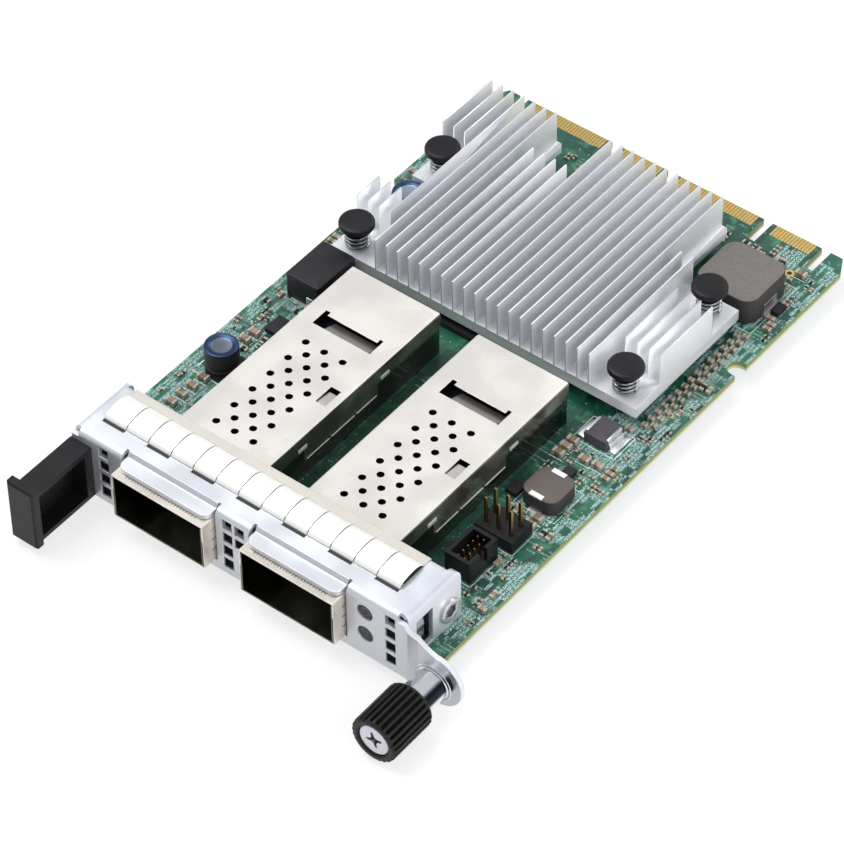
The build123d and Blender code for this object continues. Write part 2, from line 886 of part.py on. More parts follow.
with BuildPart() as thumbscrew_knob:
    with BuildSketch(on_screw(knob_back)):
        Circle(knob_radius)
        with PolarLocations(knob_radius, knob_grooves):
            Rectangle(2 * knob_groove_depth, knob_groove_width, mode=Mode.SUBTRACT)
    extrude(amount=knob_length)
    with BuildSketch(on_screw(knob_front)):
        Circle(screw_head_radius)
    extrude(amount=-(knob_face_recess + screw_head_height), mode=Mode.SUBTRACT)
    with BuildSketch(on_screw(knob_front)):
        Circle(screw_radius)
    extrude(amount=-knob_length, mode=Mode.SUBTRACT)
    with BuildSketch(on_screw(knob_back)):
        Circle(ferrule_radius + knob_inside_clearance)
    extrude(amount=bore_depth, mode=Mode.SUBTRACT)
thumbscrew_knob.part.label = "thumbscrew_knob"
export_step(thumbscrew_knob.part, "parts/thumbscrew_knob.step")

# An open ring in the screw's groove, which keeps the screw captive
with BuildPart() as retaining_ring:
    with BuildSketch(on_screw(ring_back)):
        Circle(ring_radius)
        Circle(groove_radius + running_clearance, mode=Mode.SUBTRACT)
        with Locations((ring_radius / 2, 0)):
            Rectangle(ring_radius, ring_opening, mode=Mode.SUBTRACT)
    extrude(amount=ring_thickness)
retaining_ring.part.label = "retaining_ring"
export_step(retaining_ring.part, "parts/retaining_ring.step")

# The spring in the ferrule, which pushes the screw out
spring_radius = (screw_radius + ferrule_bore_radius) / 2
spring_low = web_y + spring_end_gap + spring_wire / 2
spring_high = ear_front - ferrule_floor - spring_end_gap - spring_wire / 2
with BuildPart() as thumbscrew_spring:
    with BuildLine(on_screw(spring_high)) as spring_line:
        spring_length = spring_high - spring_low
        Polyline(*coil_points(spring_radius, spring_length, spring_turns, spring_sides))
    with BuildSketch(Plane(spring_line.line @ 0, z_dir=spring_line.line % 0)):
        RegularPolygon(spring_wire / 2, wire_sides)
    sweep(transition=Transition.RIGHT)
thumbscrew_spring.part.label = "thumbscrew_spring"
export_step(thumbscrew_spring.part, "parts/thumbscrew_spring.step")

# Module cages: cover, tub, front collar and module connector for each bay
air_hole_last_at = cage_back_at - air_hole_last_from_back
air_hole_pitch_y = (air_hole_last_at - air_hole_first_at) / (air_holes_in_row - 1)
air_holes = [
    (x + air_hole_offset, from_front(air_hole_first_at + i * air_hole_pitch_y))
    for x in spread(air_hole_rows, air_hole_pitch_x)
    for i in range(air_holes_in_row)
]
air_holes += [
    (x + air_hole_offset, from_front(air_hole_first_at + (i + 0.5) * air_hole_pitch_y))
    for x in spread(air_hole_rows - 1, air_hole_pitch_x)
    for i in range(air_holes_in_row - 1)
]
skirt_end_at = cage_back_at - skirt_end_from_back
skirt_cuts = ((cage_front_at - past, skirt_start_at), (skirt_end_at, cage_back_at + past))
cover_slot_y = cage_back - cover_slot_from_back
cover_window_y = cage_back - cover_window_from_back
for side, centre in cage_centres.items():
    with BuildPart() as cage_cover:
        half = (cage_width - cover_sheet) / 2
        with BuildSketch(facing_front(cage_back)):
            with BuildLine():
                FilletPolyline(
                    (centre - half, skirt_low),
                    (centre - half, cage_height - cover_sheet / 2),
                    (centre + half, cage_height - cover_sheet / 2),
                    (centre + half, skirt_low),
                    radius=cover_fold,
                )
            trace(line_width=cover_sheet)
        extrude(amount=cage_length)
        # the skirts are shorter ahead of and behind the latch stretch
        with BuildSketch(facing_right(centre - cage_width)):
            for start, end in skirt_cuts:
                with Locations((from_front((start + end) / 2), skirt_high / 2)):
                    Rectangle(end - start, skirt_high)
        extrude(amount=2 * cage_width, mode=Mode.SUBTRACT)
        rear_height = cage_height - cover_sheet / 2 - cover_rear_low
        with BuildSketch(facing_front(cage_back)):
            with Locations((centre, cover_rear_low + rear_height / 2)):
                Rectangle(cage_width - 2 * cover_sheet, rear_height)
        extrude(amount=cover_sheet)
        with BuildSketch(level(cage_height)):
            with Locations(*[(centre + x, y) for x, y in air_holes]):
                RegularPolygon(air_hole_radius, air_hole_sides)
            with Locations((centre, cover_slot_y)):
                Rectangle(cage_width - 2 * cover_slot_margin, cover_slot_width)
            with Locations((centre + cage_width / 2 - cover_window_margin, cover_window_y)):
                Rectangle(cover_window_width, cover_window_length)
        extrude(amount=-2 * cover_sheet, mode=Mode.SUBTRACT)
    cage_cover.part.label = side + "_cage_cover"
    export_step(cage_cover.part, f"parts/{side}_cage_cover.step")

    with BuildPart() as cage_tub:
        with BuildSketch(facing_front(cage_front)):
            with Locations((centre, tub_height / 2)):
                Rectangle(tub_width, tub_height)
            with Locations((centre, tub_sheet + tub_height / 2)):
                Rectangle(tub_width - 2 * tub_sheet, tub_height, mode=Mode.SUBTRACT)
        extrude(amount=-(cage_length - cover_sheet - cage_fit))
        with BuildSketch(level(tub_sheet)):
            with Locations(*cage_leg_points[side]):
                Rectangle(tub_sheet, cage_leg_width)
        extrude(amount=-(tub_sheet + board_thickness + cage_leg_below_board))
    cage_tub.part.label = side + "_cage_tub"
    export_step(cage_tub.part, f"parts/{side}_cage_tub.step")

    # spring collar round the cage's mouth
    slit_y = cage_front + collar_finger_start + collar_length / 2
    with BuildPart() as cage_collar:
        with BuildSketch(facing_front(cage_front)):
            with Locations((centre, cage_height / 2)):
                Rectangle(cage_width + 2 * collar_sheet, cage_height + 2 * collar_sheet)
                Rectangle(cage_width, cage_height, mode=Mode.SUBTRACT)
        extrude(amount=-collar_length)
        top_slits = spread(collar_slits_top, cage_width / (collar_slits_top + 1))
        with BuildSketch(level(cage_height / 2)):
            with Locations(*[(centre + x, slit_y) for x in top_slits]):
                Rectangle(collar_slit, collar_length)
        extrude(amount=cage_height, mode=Mode.SUBTRACT)
        side_slits = spread(collar_slits_side, cage_height / (collar_slits_side + 1))
        with BuildSketch(facing_right(centre - cage_width)):
            with Locations(*[(slit_y, cage_height / 2 + z) for z in side_slits]):
                Rectangle(collar_length, collar_slit)
        extrude(amount=2 * cage_width, mode=Mode.SUBTRACT)
    cage_collar.part.label = side + "_cage_collar"
    export_step(cage_collar.part, f"parts/{side}_cage_collar.step")

    # connector with its card slot, inside the cage
    host_front = cage_back - host_from_back
    host_width = tub_width - 2 * tub_sheet - 2 * host_side_gap
    with BuildPart() as module_connector:
        with BuildSketch(level(tub_sheet)):
            with Locations((centre, host_front + host_length / 2)):
                Rectangle(host_width, host_length)
        extrude(amount=host_height)
        chamfer(edges().filter_by(Axis.X).group_by(Axis.Z)[-1], host_chamfer)
        with BuildSketch(facing_front(host_front)):
            with Locations((centre, host_slot_z)):
                Rectangle(host_width - 2 * host_slot_margin, host_slot_height)
        extrude(amount=-host_slot_depth, mode=Mode.SUBTRACT)
    module_connector.part.label = side + "_module_connector"
    export_step(module_connector.part, f"parts/{side}_module_connector.step")

# Heat sink: base plate with its outline, and fins that stop short of the pins
fin_first_x = sink_left + fin_thickness / 2
fin_pitch = (sink_right - sink_left - fin_thickness) / (sum(fin_groups) - 1)
notch_front_at = sink_front_at + sink_notch_start
notch_back_at = notch_front_at + sink_notch_length
middle_back_at = sink_back_at - sink_middle_cut
right_back_at = sink_back_at - sink_right_cut
behind_first_pins = pin_ats[0] + ledge_behind_pin
before_last_pins = pin_ats[1] - ledge_before_pin
behind_last_pins = pin_ats[1] + ledge_behind_pin
fin_stretches = [
    [(behind_first_pins, notch_front_at - fin_notch_gap), (behind_last_pins, sink_back_at)],
    [(behind_first_pins, sink_back_at)],
    [(sink_front_at, sink_back_at)],
    [(sink_front_at, middle_back_at)],
    [(sink_front_at, sink_back_at)],
    [(sink_front_at, right_back_at)],
    [(behind_first_pins, before_last_pins)],
]


def behind_group(count):
    """X half way between the fins of the first count groups and the next fin."""
    return fin_first_x + (sum(fin_groups[:count]) - 0.5) * fin_pitch


middle_cut_left = behind_group(3)
middle_cut_right = behind_group(4)
right_cut_left = behind_group(5)
with BuildPart() as heat_sink:
    with BuildSketch(level(sink_base_low)):
        with BuildLine():
            Polyline(
                (sink_left, from_front(sink_front_at)),
                (sink_right, from_front(sink_front_at)),
                (sink_right, from_front(right_back_at)),
                (right_cut_left, from_front(right_back_at)),
                (right_cut_left, from_front(sink_back_at)),
                (middle_cut_right, from_front(sink_back_at)),
                (middle_cut_right, from_front(middle_back_at)),
                (middle_cut_left, from_front(middle_back_at)),
                (middle_cut_left, from_front(sink_back_at)),
                (sink_left, from_front(sink_back_at)),
                (sink_left, from_front(notch_back_at)),
                (sink_left + sink_notch_depth, from_front(notch_back_at)),
                (sink_left + sink_notch_depth, from_front(notch_front_at)),
                (sink_left, from_front(notch_front_at)),
                close=True,
            )
        make_face()
        with Locations(*pin_spots):
            Circle(pin_shank_radius + pin_hole_clearance, mode=Mode.SUBTRACT)
    extrude(amount=sink_base_thickness)
    fin_x = fin_first_x
    with BuildSketch(level(base_top)):
        for group, stretches in zip(fin_groups, fin_stretches):
            for fin in range(group):
                for start, end in stretches:
                    with Locations((fin_x, from_front((start + end) / 2))):
                        Rectangle(fin_thickness, end - start)
                fin_x += fin_pitch
    extrude(amount=fin_top - base_top)
heat_sink.part.label = "heat_sink"
export_step(heat_sink.part, "parts/heat_sink.step")

# Push pins: a cap on a round shank, with a flat barb under the board
cap_low = pin_top - pin_cap_thickness
barb_high = -board_thickness - pin_barb_gap
barb_low = barb_high - pin_barb_height
with BuildPart() as push_pin:
    with BuildSketch(level(cap_low)):
        Circle(pin_cap_radius)
    extrude(amount=pin_cap_thickness)
    with BuildSketch(level(barb_high)):
        Circle(pin_shank_radius)
    extrude(amount=cap_low - barb_high)
    with BuildSketch(Plane.XZ):
        with BuildLine():
            Polyline(
                (-pin_barb_radius, barb_high),
                (pin_barb_radius, barb_high),
                (pin_barb_tip_radius, barb_low),
                (-pin_barb_tip_radius, barb_low),
                close=True,
            )
        make_face()
    extrude(amount=pin_barb_thickness / 2, both=True)
with BuildPart() as push_pins:
    with Locations(*pin_spots):
        add(push_pin.part)
push_pins.part.label = "push_pins"
export_step(push_pins.part, "parts/push_pins.step")

# Their springs, between the heat sink's base and the pins' caps
spring_bottom = base_top + pin_spring_wire / 2
spring_top = cap_low - pin_spring_wire / 2
with BuildPart() as pin_spring:
    with BuildLine(level(spring_bottom)) as coil:
        coil_length = spring_top - spring_bottom
        corners = coil_points(pin_spring_radius, coil_length, pin_spring_turns, pin_spring_sides)
        Polyline(*corners)
    with BuildSketch(Plane(coil.line @ 0, z_dir=coil.line % 0)):
        RegularPolygon(pin_spring_wire / 2, wire_sides)
    sweep(transition=Transition.RIGHT)
with BuildPart() as pin_springs:
    with Locations(*pin_spots):
        add(pin_spring.part)
pin_springs.part.label = "pin_springs"
export_step(pin_springs.part, "parts/pin_springs.step")

# Main chip under the heat sink, with its thermal pad
die_top = chip_height + die_height
with BuildPart() as main_chip:
    with BuildSketch():
        with Locations((chip_x, chip_y)):
            Rectangle(chip_side, chip_side)
    extrude(amount=chip_height)
    with BuildSketch(level(chip_height)):
        with Locations((chip_x, chip_y)):
            Rectangle(die_side, die_side)
    extrude(amount=die_height)
main_chip.part.label = "main_chip"
export_step(main_chip.part, "parts/main_chip.step")

with BuildPart() as thermal_pad:
    with BuildSketch(level(die_top)):
        with Locations((chip_x, chip_y)):
            Rectangle(die_side, die_side)
    extrude(amount=sink_base_low - die_top)
thermal_pad.part.label = "thermal_pad"
export_step(thermal_pad.part, "parts/thermal_pad.step")

# Light pipes: two round noses on one block that stands on the board
pipe_radius = lamp_hole_radius - pipe_fit
pipe_front = plate_front + pipe_setback
pipe_body_length = pipe_body_back_at - pipe_body_front_at
with BuildPart() as light_pipes:
    with BuildSketch(facing_front(from_front(pipe_body_front_at))):
        with Locations(*[(lamp_x, z) for z in lamp_heights]):
            Circle(pipe_radius)
    extrude(amount=from_front(pipe_body_front_at) - pipe_front)
    with BuildSketch():
        with Locations((lamp_x, from_front(pipe_body_front_at) + pipe_body_length / 2)):
            Rectangle(2 * pipe_radius, pipe_body_length)
    extrude(amount=max(lamp_heights) + pipe_radius)
light_pipes.part.label = "light_pipes"
export_step(light_pipes.part, "parts/light_pipes.step")

# Round can capacitors on square bases
can_second_spot = (
    sink_left + can_second_from_sink[0], sink_front_at + can_second_from_sink[1]
)
can_points = [on_board(can_first_spot), on_board(can_second_spot)]
with BuildPart() as capacitor_bases:
    with BuildSketch():
        with Locations(*can_points):
            Rectangle(can_base_side, can_base_side)
    extrude(amount=can_base_height)
    front_edges = [edges().filter_by(Axis.Z).group_by(Axis.Y)[place] for place in (0, 2)]
    chamfer([edge for pair in front_edges for edge in pair], can_base_chamfer)
capacitor_bases.part.label = "capacitor_bases"
export_step(capacitor_bases.part, "parts/capacitor_bases.step")
with BuildPart() as can_capacitors:
    with BuildSketch(level(can_base_height)):
        with Locations(*can_points):
            Circle(can_radius)
    extrude(amount=can_height - can_base_height)
can_capacitors.part.label = "can_capacitors"
export_step(can_capacitors.part, "parts/can_capacitors.step")

# Inductors: a square black one, a large one and a small one with cut corners
with BuildPart() as square_inductor:
    with BuildSketch(level(coil_lift)):
        with Locations(on_board(square_coil_spot)):
            Rectangle(*square_coil_size)
    extrude(amount=square_coil_height - coil_lift)
    chamfer(edges().filter_by(Axis.Z), square_coil_corner)
    chamfer(edges().group_by(Axis.Z)[-1], square_coil_chamfer)
square_inductor.part.label = "square_inductor"
export_step(square_inductor.part, "parts/square_inductor.step")

large_coil_spot = (
    sink_right - large_coil_from_sink[0], sink_front_at + large_coil_from_sink[1]
)
with BuildPart() as large_inductor:
    with BuildSketch(level(coil_lift)):
        with Locations(on_board(large_coil_spot)):
            Rectangle(*large_coil_size)
        chamfer(vertices(), large_coil_corner)
    extrude(amount=large_coil_height - coil_lift)
    chamfer(edges().group_by(Axis.Z)[-1], large_coil_chamfer)
large_inductor.part.label = "large_inductor"
export_step(large_inductor.part, "parts/large_inductor.step")

with BuildPart() as small_inductor:
    with BuildSketch(level(coil_lift)):
        with Locations(on_board(small_coil_spot)):
            Rectangle(small_coil_side, small_coil_side)
        chamfer(vertices(), small_coil_corner)
    extrude(amount=small_coil_height - coil_lift)
small_inductor.part.label = "small_inductor"
export_step(small_inductor.part, "parts/small_inductor.step")

# Solder terminals under the ends of each inductor
square_terminal_reach = square_coil_size[1] - 2 * square_terminal_inset
large_terminal_reach = large_coil_size[0] - 2 * large_terminal_inset
small_terminal_reach = small_coil_side - 2 * small_terminal_inset
with BuildPart() as inductor_terminals:
    with BuildSketch():
        with Locations(on_board(square_coil_spot)):
            with GridLocations(0, square_terminal_reach, 1, 2):
                Rectangle(*square_terminal)
        with Locations(on_board(large_coil_spot)):
            with GridLocations(large_terminal_reach, 0, 2, 1):
                Rectangle(*large_terminal)
        with Locations(on_board(small_coil_spot)):
            with GridLocations(0, small_terminal_reach, 1, 2):
                Rectangle(*small_terminal)
    extrude(amount=coil_lift)
inductor_terminals.part.label = "inductor_terminals"
export_step(inductor_terminals.part, "parts/inductor_terminals.step")

# Power package with leads, near the heat sink's front right corner
with BuildPart() as power_package:
    with BuildSketch(level(power_lift)):
        with Locations(on_board(power_spot)):
            Rectangle(*power_size)
    extrude(amount=power_height - power_lift)
    chamfer(edges().group_by(Axis.Z)[-1], power_chamfer)
power_package.part.label = "power_package"
export_step(power_package.part, "parts/power_package.step")
with BuildPart() as power_leads:
    with BuildSketch():
        with Locations(on_board(power_spot)):
            with GridLocations(power_size[0] + lead_size[0], 0, 2, 1):
                Rectangle(*lead_size)
    extrude(amount=lead_height)
power_leads.part.label = "power_leads"
export_step(power_leads.part, "parts/power_leads.step")

# Small black chips
rear_chip_spot = (board_right - rear_chip_from_sink[0], sink_front_at + rear_chip_from_sink[1])
with BuildPart() as small_chips:
    with BuildSketch():
        for spot, size in zip(chip_spots, chip_sizes):
            with Locations(on_board(spot)):
                Rectangle(*size)
        with Locations(on_board(rear_chip_spot)):
            Rectangle(*rear_chip_size)
    extrude(amount=small_chip_height)
small_chips.part.label = "small_chips"
export_step(small_chips.part, "parts/small_chips.step")

# Pin header
header_block = (
    header_columns * header_pitch, header_rows * header_pitch + 2 * header_block_margin
)
with BuildPart() as pin_header:
    with BuildSketch():
        with Locations(on_board(header_spot)):
            Rectangle(*header_block)
            with GridLocations(header_pitch, header_pitch, header_columns, header_rows):
                Rectangle(header_pin_side, header_pin_side, mode=Mode.SUBTRACT)
    extrude(amount=header_block_height)
pin_header.part.label = "pin_header"
export_step(pin_header.part, "parts/pin_header.step")
with BuildPart() as header_pins:
    with BuildSketch():
        with Locations(on_board(header_spot)):
            with GridLocations(header_pitch, header_pitch, header_columns, header_rows):
                Rectangle(header_pin_side, header_pin_side)
    extrude(amount=header_pin_height)
header_pins.part.label = "header_pins"
export_step(header_pins.part, "parts/header_pins.step")

# Box header
box_inside = (box_size[0] - 2 * box_wall, box_size[1] - 2 * box_wall)
box_x, box_y = on_board(box_spot)
with BuildPart() as box_header:
    with BuildSketch():
        with Locations((box_x, box_y)):
            Rectangle(*box_size)
            with GridLocations(box_pitch, box_pitch, box_columns, box_rows):
                Rectangle(box_pin_side, box_pin_side, mode=Mode.SUBTRACT)
    extrude(amount=box_floor)
    with BuildSketch(level(box_floor)):
        with Locations((box_x, box_y)):
            Rectangle(*box_size)
            Rectangle(*box_inside, mode=Mode.SUBTRACT)
        with Locations((box_x + box_size[0] / 2, box_y)):
            Rectangle(3 * box_wall, box_key_width, mode=Mode.SUBTRACT)
    extrude(amount=box_height - box_floor)
box_header.part.label = "box_header"
export_step(box_header.part, "parts/box_header.step")
with BuildPart() as box_header_pins:
    with BuildSketch():
        with Locations((box_x, box_y)):
            with GridLocations(box_pitch, box_pitch, box_columns, box_rows):
                Rectangle(box_pin_side, box_pin_side)
    extrude(amount=box_pin_height)
box_header_pins.part.label = "box_header_pins"
export_step(box_header_pins.part, "parts/box_header_pins.step")

# Ceramic capacitors: the larger ones, each a block lying on the board
rear_ceramic_spot = (
    board_right - rear_ceramic_from_sink[0], sink_front_at + rear_ceramic_from_sink[1]
)
ceramic_points = [on_board(spot) for spot in (*ceramic_beside_cages, rear_ceramic_spot)]
with BuildPart() as ceramic_capacitors:
    with BuildSketch():
        with Locations(*ceramic_points):
            Rectangle(*ceramic_size)
    extrude(amount=ceramic_height)
ceramic_capacitors.part.label = "ceramic_capacitors"
export_step(ceramic_capacitors.part, "parts/ceramic_capacitors.step")

# A row of small capacitors along the heat sink's right side
row_x = board_right - row_from_board_right
row_middle = from_front(sink_front_at + row_middle_from_sink)
with BuildPart() as row_capacitors:
    with BuildSketch():
        with Locations(*[(row_x, row_middle + y) for y in spread(row_count, row_pitch)]):
            Rectangle(*row_size)
    extrude(amount=row_height)
row_capacitors.part.label = "row_capacitors"
export_step(row_capacitors.part, "parts/row_capacitors.step")

# Decoupling capacitors on the solder side, under the main chip
with BuildPart() as underside_capacitors:
    with BuildSketch(level(-board_thickness)):
        with Locations((chip_x, chip_y)):
            with GridLocations(under_pitch, under_pitch, under_grid, under_grid):
                Rectangle(*under_size)
    extrude(amount=-under_height)
underside_capacitors.part.label = "underside_capacitors"
export_step(underside_capacitors.part, "parts/underside_capacitors.step")
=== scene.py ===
"""Looks of a mezzanine network card: finishes, fine parts, floor, light and camera.

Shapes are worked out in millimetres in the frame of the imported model: X along the
faceplate, Y out of the gold edge, Z up from the board's component side.
"""

import json
import math
import random

import bmesh
import bpy
from mathutils import Matrix, Vector
from mathutils.bvhtree import BVHTree


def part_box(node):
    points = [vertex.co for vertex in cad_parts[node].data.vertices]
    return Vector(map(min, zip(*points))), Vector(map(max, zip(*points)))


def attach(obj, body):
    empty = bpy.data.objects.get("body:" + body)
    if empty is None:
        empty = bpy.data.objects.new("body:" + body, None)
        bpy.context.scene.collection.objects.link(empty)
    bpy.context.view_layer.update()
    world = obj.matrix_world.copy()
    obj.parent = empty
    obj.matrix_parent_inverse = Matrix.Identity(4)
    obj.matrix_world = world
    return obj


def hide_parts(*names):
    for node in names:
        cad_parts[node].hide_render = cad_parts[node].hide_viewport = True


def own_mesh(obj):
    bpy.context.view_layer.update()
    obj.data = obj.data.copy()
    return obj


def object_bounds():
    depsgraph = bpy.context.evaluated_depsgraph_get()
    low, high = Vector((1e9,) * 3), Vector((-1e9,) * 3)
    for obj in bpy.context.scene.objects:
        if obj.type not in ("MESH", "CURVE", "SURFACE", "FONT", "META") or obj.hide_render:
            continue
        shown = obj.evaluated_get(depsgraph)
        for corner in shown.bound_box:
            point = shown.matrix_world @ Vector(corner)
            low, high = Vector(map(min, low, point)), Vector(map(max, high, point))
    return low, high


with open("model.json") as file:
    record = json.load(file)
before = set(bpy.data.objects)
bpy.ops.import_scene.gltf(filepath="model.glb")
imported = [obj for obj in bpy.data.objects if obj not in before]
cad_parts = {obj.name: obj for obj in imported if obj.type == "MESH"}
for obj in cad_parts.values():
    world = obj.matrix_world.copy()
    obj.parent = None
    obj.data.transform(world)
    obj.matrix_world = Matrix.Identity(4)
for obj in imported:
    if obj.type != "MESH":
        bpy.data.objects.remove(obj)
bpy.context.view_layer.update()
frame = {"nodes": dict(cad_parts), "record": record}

MM = 0.001
CARD = "card"
SCREW = "screw_body"
X_AXIS = Vector((1, 0, 0))
Y_AXIS = Vector((0, 1, 0))
Z_AXIS = Vector((0, 0, 1))
scene = bpy.context.scene


def node_box(name):
    """Lowest and highest corner of a node of the frame, in millimetres."""
    low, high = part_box(name)
    return Vector(low) / MM, Vector(high) / MM


board_low, board_high = node_box("circuit_board")
board_front = board_low.y
board_top = board_high.z
board_bottom = board_low.z


def behind(at):
    """Y of a place measured back from the board's front edge."""
    return board_front + at


# Shader maths


class Value:
    """A value in a material's nodes. Arithmetic on it adds Math nodes."""

    def __init__(self, paint, socket):
        self.paint = paint
        self.socket = socket

    def calc(self, operation, *others):
        sockets = dict(enumerate((self, *others)))
        return self.paint.node("ShaderNodeMath", {"operation": operation}, sockets)

    def __add__(self, other):
        return self.calc("ADD", other)

    def __sub__(self, other):
        return self.calc("SUBTRACT", other)

    def __mul__(self, other):
        return self.calc("MULTIPLY", other)

    def __truediv__(self, other):
        return self.calc("DIVIDE", other)

    def __gt__(self, other):
        return self.calc("GREATER_THAN", other)

    def __lt__(self, other):
        return self.calc("LESS_THAN", other)

    def __radd__(self, other):
        return self + other

    def __rmul__(self, other):
        return self * other

    def __rsub__(self, other):
        return (self * -1) + other

    def floor(self):
        return self.calc("FLOOR")

    def fract(self):
        return self.calc("FRACT")

    def size(self):
        return self.calc("ABSOLUTE")

    def ramp(self, low, high):
        """0 below low and 1 above high, smooth between."""
        settings = {"interpolation_type": "SMOOTHSTEP"}
        sockets = {"Value": self, "From Min": low, "From Max": high}
        return self.paint.node("ShaderNodeMapRange", settings, sockets)

    def within(self, low, high):
        """1 between low and high."""
        return (self > low) * (self < high)


class Paint:
    """One material and the nodes that make it."""

    def __init__(self, name):
        self.material = bpy.data.materials.new(name)
        self.material.use_nodes = True
        self.tree = self.material.node_tree
        self.tree.nodes.clear()
        self.place = self.node("ShaderNodeTexCoord", out="Object")

    def node(self, kind, settings=None, sockets=None, out=0):
        """Adds a node: its settings first, then values or links for its sockets."""
        made = self.tree.nodes.new(kind)
        for key, value in (settings or {}).items():
            setattr(made, key, value)
        for key, value in (sockets or {}).items():
            target = made.inputs[key]
            if isinstance(value, Value):
                self.tree.links.new(value.socket, target)
            elif target.type == "RGBA" and len(value) == 3:
                target.default_value = (*value, 1.0)
            else:
                target.default_value = value
        return Value(self, made.outputs[out])

    def mm(self, scale=(1, 1, 1)):
        """Object coordinates in millimetres, stretched by scale."""
        factors = tuple(s / MM for s in scale)
        settings = {"operation": "MULTIPLY"}
        return self.node("ShaderNodeVectorMath", settings, {0: self.place, 1: factors})

    def axes(self):
        """X, Y and Z of the object coordinates, in millimetres."""
        split = self.node("ShaderNodeSeparateXYZ", None, {0: self.mm()})
        outputs = split.socket.node.outputs
        return [Value(self, outputs[i]) for i in range(3)]

    def noise(self, scale, detail=2.0, roughness=0.5, stretch=(1, 1, 1)):
        """Noise with scale blobs per millimetre."""
        sockets = {
            "Vector": self.mm(stretch),
            "Scale": scale,
            "Detail": detail,
            "Roughness": roughness,
        }
        return self.node("ShaderNodeTexNoise", None, sockets)

    def cells(self, scale, out="Distance", stretch=(1, 1, 1)):
        """Cells, scale to a millimetre: the distance from the middle of each, or its Color."""
        sockets = {"Vector": self.mm(stretch), "Scale": scale}
        return self.node("ShaderNodeTexVoronoi", None, sockets, out)

    def cell_tones(self, scale, stretch=(1, 1, 1)):
        """A value of its own from 0 to 1 for each cell."""
        return self.node("ShaderNodeSeparateColor", None, {0: self.cells(scale, "Color", stretch)})

    def chance(self, x, y):
        """A random value from 0 to 1 for each pair of whole numbers."""
        pair = self.node("ShaderNodeCombineXYZ", None, {0: x.floor(), 1: y.floor(), 2: 0.5})
        return self.node("ShaderNodeTexWhiteNoise", {"noise_dimensions": "3D"}, {"Vector": pair})

    def mix(self, share, first, second):
        """Mixes two colours by a share from 0 to 1."""
        sockets = {0: share, 6: first, 7: second}
        return self.node("ShaderNodeMix", {"data_type": "RGBA"}, sockets, 2)

    def front_shade(self, colour, shade):
        """A colour that turns to a painted shade where the surface faces forwards."""
        return self.mix(self.facing(-Y_AXIS).ramp(0.6, 0.95), colour, shade)

    def bump(self, height, distance, strength=1.0, normal=None):
        """A Normal from a height from 0 to 1, with distance in millimetres."""
        sockets = {"Height": height, "Distance": distance * MM, "Strength": strength}
        if normal is not None:
            sockets["Normal"] = normal
        return self.node("ShaderNodeBump", None, sockets)

    def facing(self, way):
        """How far a surface faces a way: 1 straight on, 0 side on."""
        settings = {"operation": "DOT_PRODUCT"}
        normal = self.node("ShaderNodeNewGeometry", out="Normal")
        return self.node("ShaderNodeVectorMath", settings, {0: normal, 1: way}, "Value")

    def soft_edges(self, radius):
        """A Normal that rounds sharp edges by a radius in millimetres."""
        return self.node("ShaderNodeBevel", {"samples": 4}, {"Radius": radius * MM})

    def finish(self, **sockets):
        """Ends the material in one surface shader and returns the material."""
        names = {}
        for key, value in sockets.items():
            names[key.replace("_", " ").title().replace("Ior", "IOR")] = value
        self.surface(self.node("ShaderNodeBsdfPrincipled", None, names))
        return self.material

    def surface(self, surface):
        """Links a shader to the material's output."""
        output = self.tree.nodes.new("ShaderNodeOutputMaterial")
        self.tree.links.new(surface.socket, output.inputs["Surface"])


# Finishes


def dimmed(colour, share):
    """A colour with every channel at a share of its value."""
    return tuple(c * share for c in colour)


def sheet_metal(
    name, colour, roughness, grain=0.05, metal=1.0, edge=0.12, smears=0.12, fleck=0.12, front=1.0
):
    """Rolled or plated sheet: faint grain, soft smears, rounded edges, and painted shade on the faces
    that face forwards.
    """
    paint = Paint(name)
    fine = paint.noise(9.0, 3.0, 0.6)
    broad = paint.noise(0.12, 1.5, 0.5)
    base = paint.mix(broad.ramp(0.35, 0.68), dimmed(colour, 1 - smears), colour)
    # painted shade on the faces that face forwards, at the share front of the colour
    if front < 1:
        base = paint.front_shade(base, dimmed(colour, front))
    rough = (broad - 0.5) * 0.18 + (fine - 0.5) * fleck + roughness
    normal = paint.bump(fine, grain * 0.1, 0.5, paint.soft_edges(edge))
    return paint.finish(base_color=base, metallic=metal, roughness=rough, normal=normal)


def moulded(name, colour, roughness, grain=0.05, edge=0.12, shine=0.25):
    """Moulded plastic with a fine spark-eroded texture."""
    paint = Paint(name)
    fine = paint.noise(7.0, 4.0, 0.65)
    broad = paint.noise(0.25, 2.0, 0.5)
    lighter = tuple(c * 1.25 + 0.002 for c in colour)
    base = paint.mix(broad.ramp(0.3, 0.7), colour, lighter)
    rough = (fine - 0.5) * 0.2 + roughness
    normal = paint.bump(fine, grain * 0.2, 0.6, paint.soft_edges(edge))
    return paint.finish(base_color=base, roughness=rough, normal=normal, specular_ior_level=shine)


def bare_edge(paint, z):
    """Where the board's edge is, and its laminate, which is olive above and pale below."""
    thick = board_top - board_bottom
    edge = z.within(board_bottom + 0.02 * thick, board_top - 0.02 * thick)
    glass = paint.noise(1.2, 3.0, 0.6, (0.3, 0.3, 6.0))
    olive = paint.mix(glass, (0.09, 0.115, 0.02), (0.24, 0.25, 0.06))
    pale = paint.mix(glass, (0.42, 0.44, 0.24), (0.66, 0.67, 0.46))
    lower = z.ramp(board_top - 0.45 * thick, board_bottom + 0.1 * thick)
    return edge, paint.mix(lower, olive, pale)


# Rows, words and specks of the printed marks, in millimetres
MARK_ROW = 0.72
MARK_WORD = 1.9
MARK_SPECK = 0.14
FINE_ROW = 0.8
FINE_WORD = 1.7
FINE_SPECK = 0.13


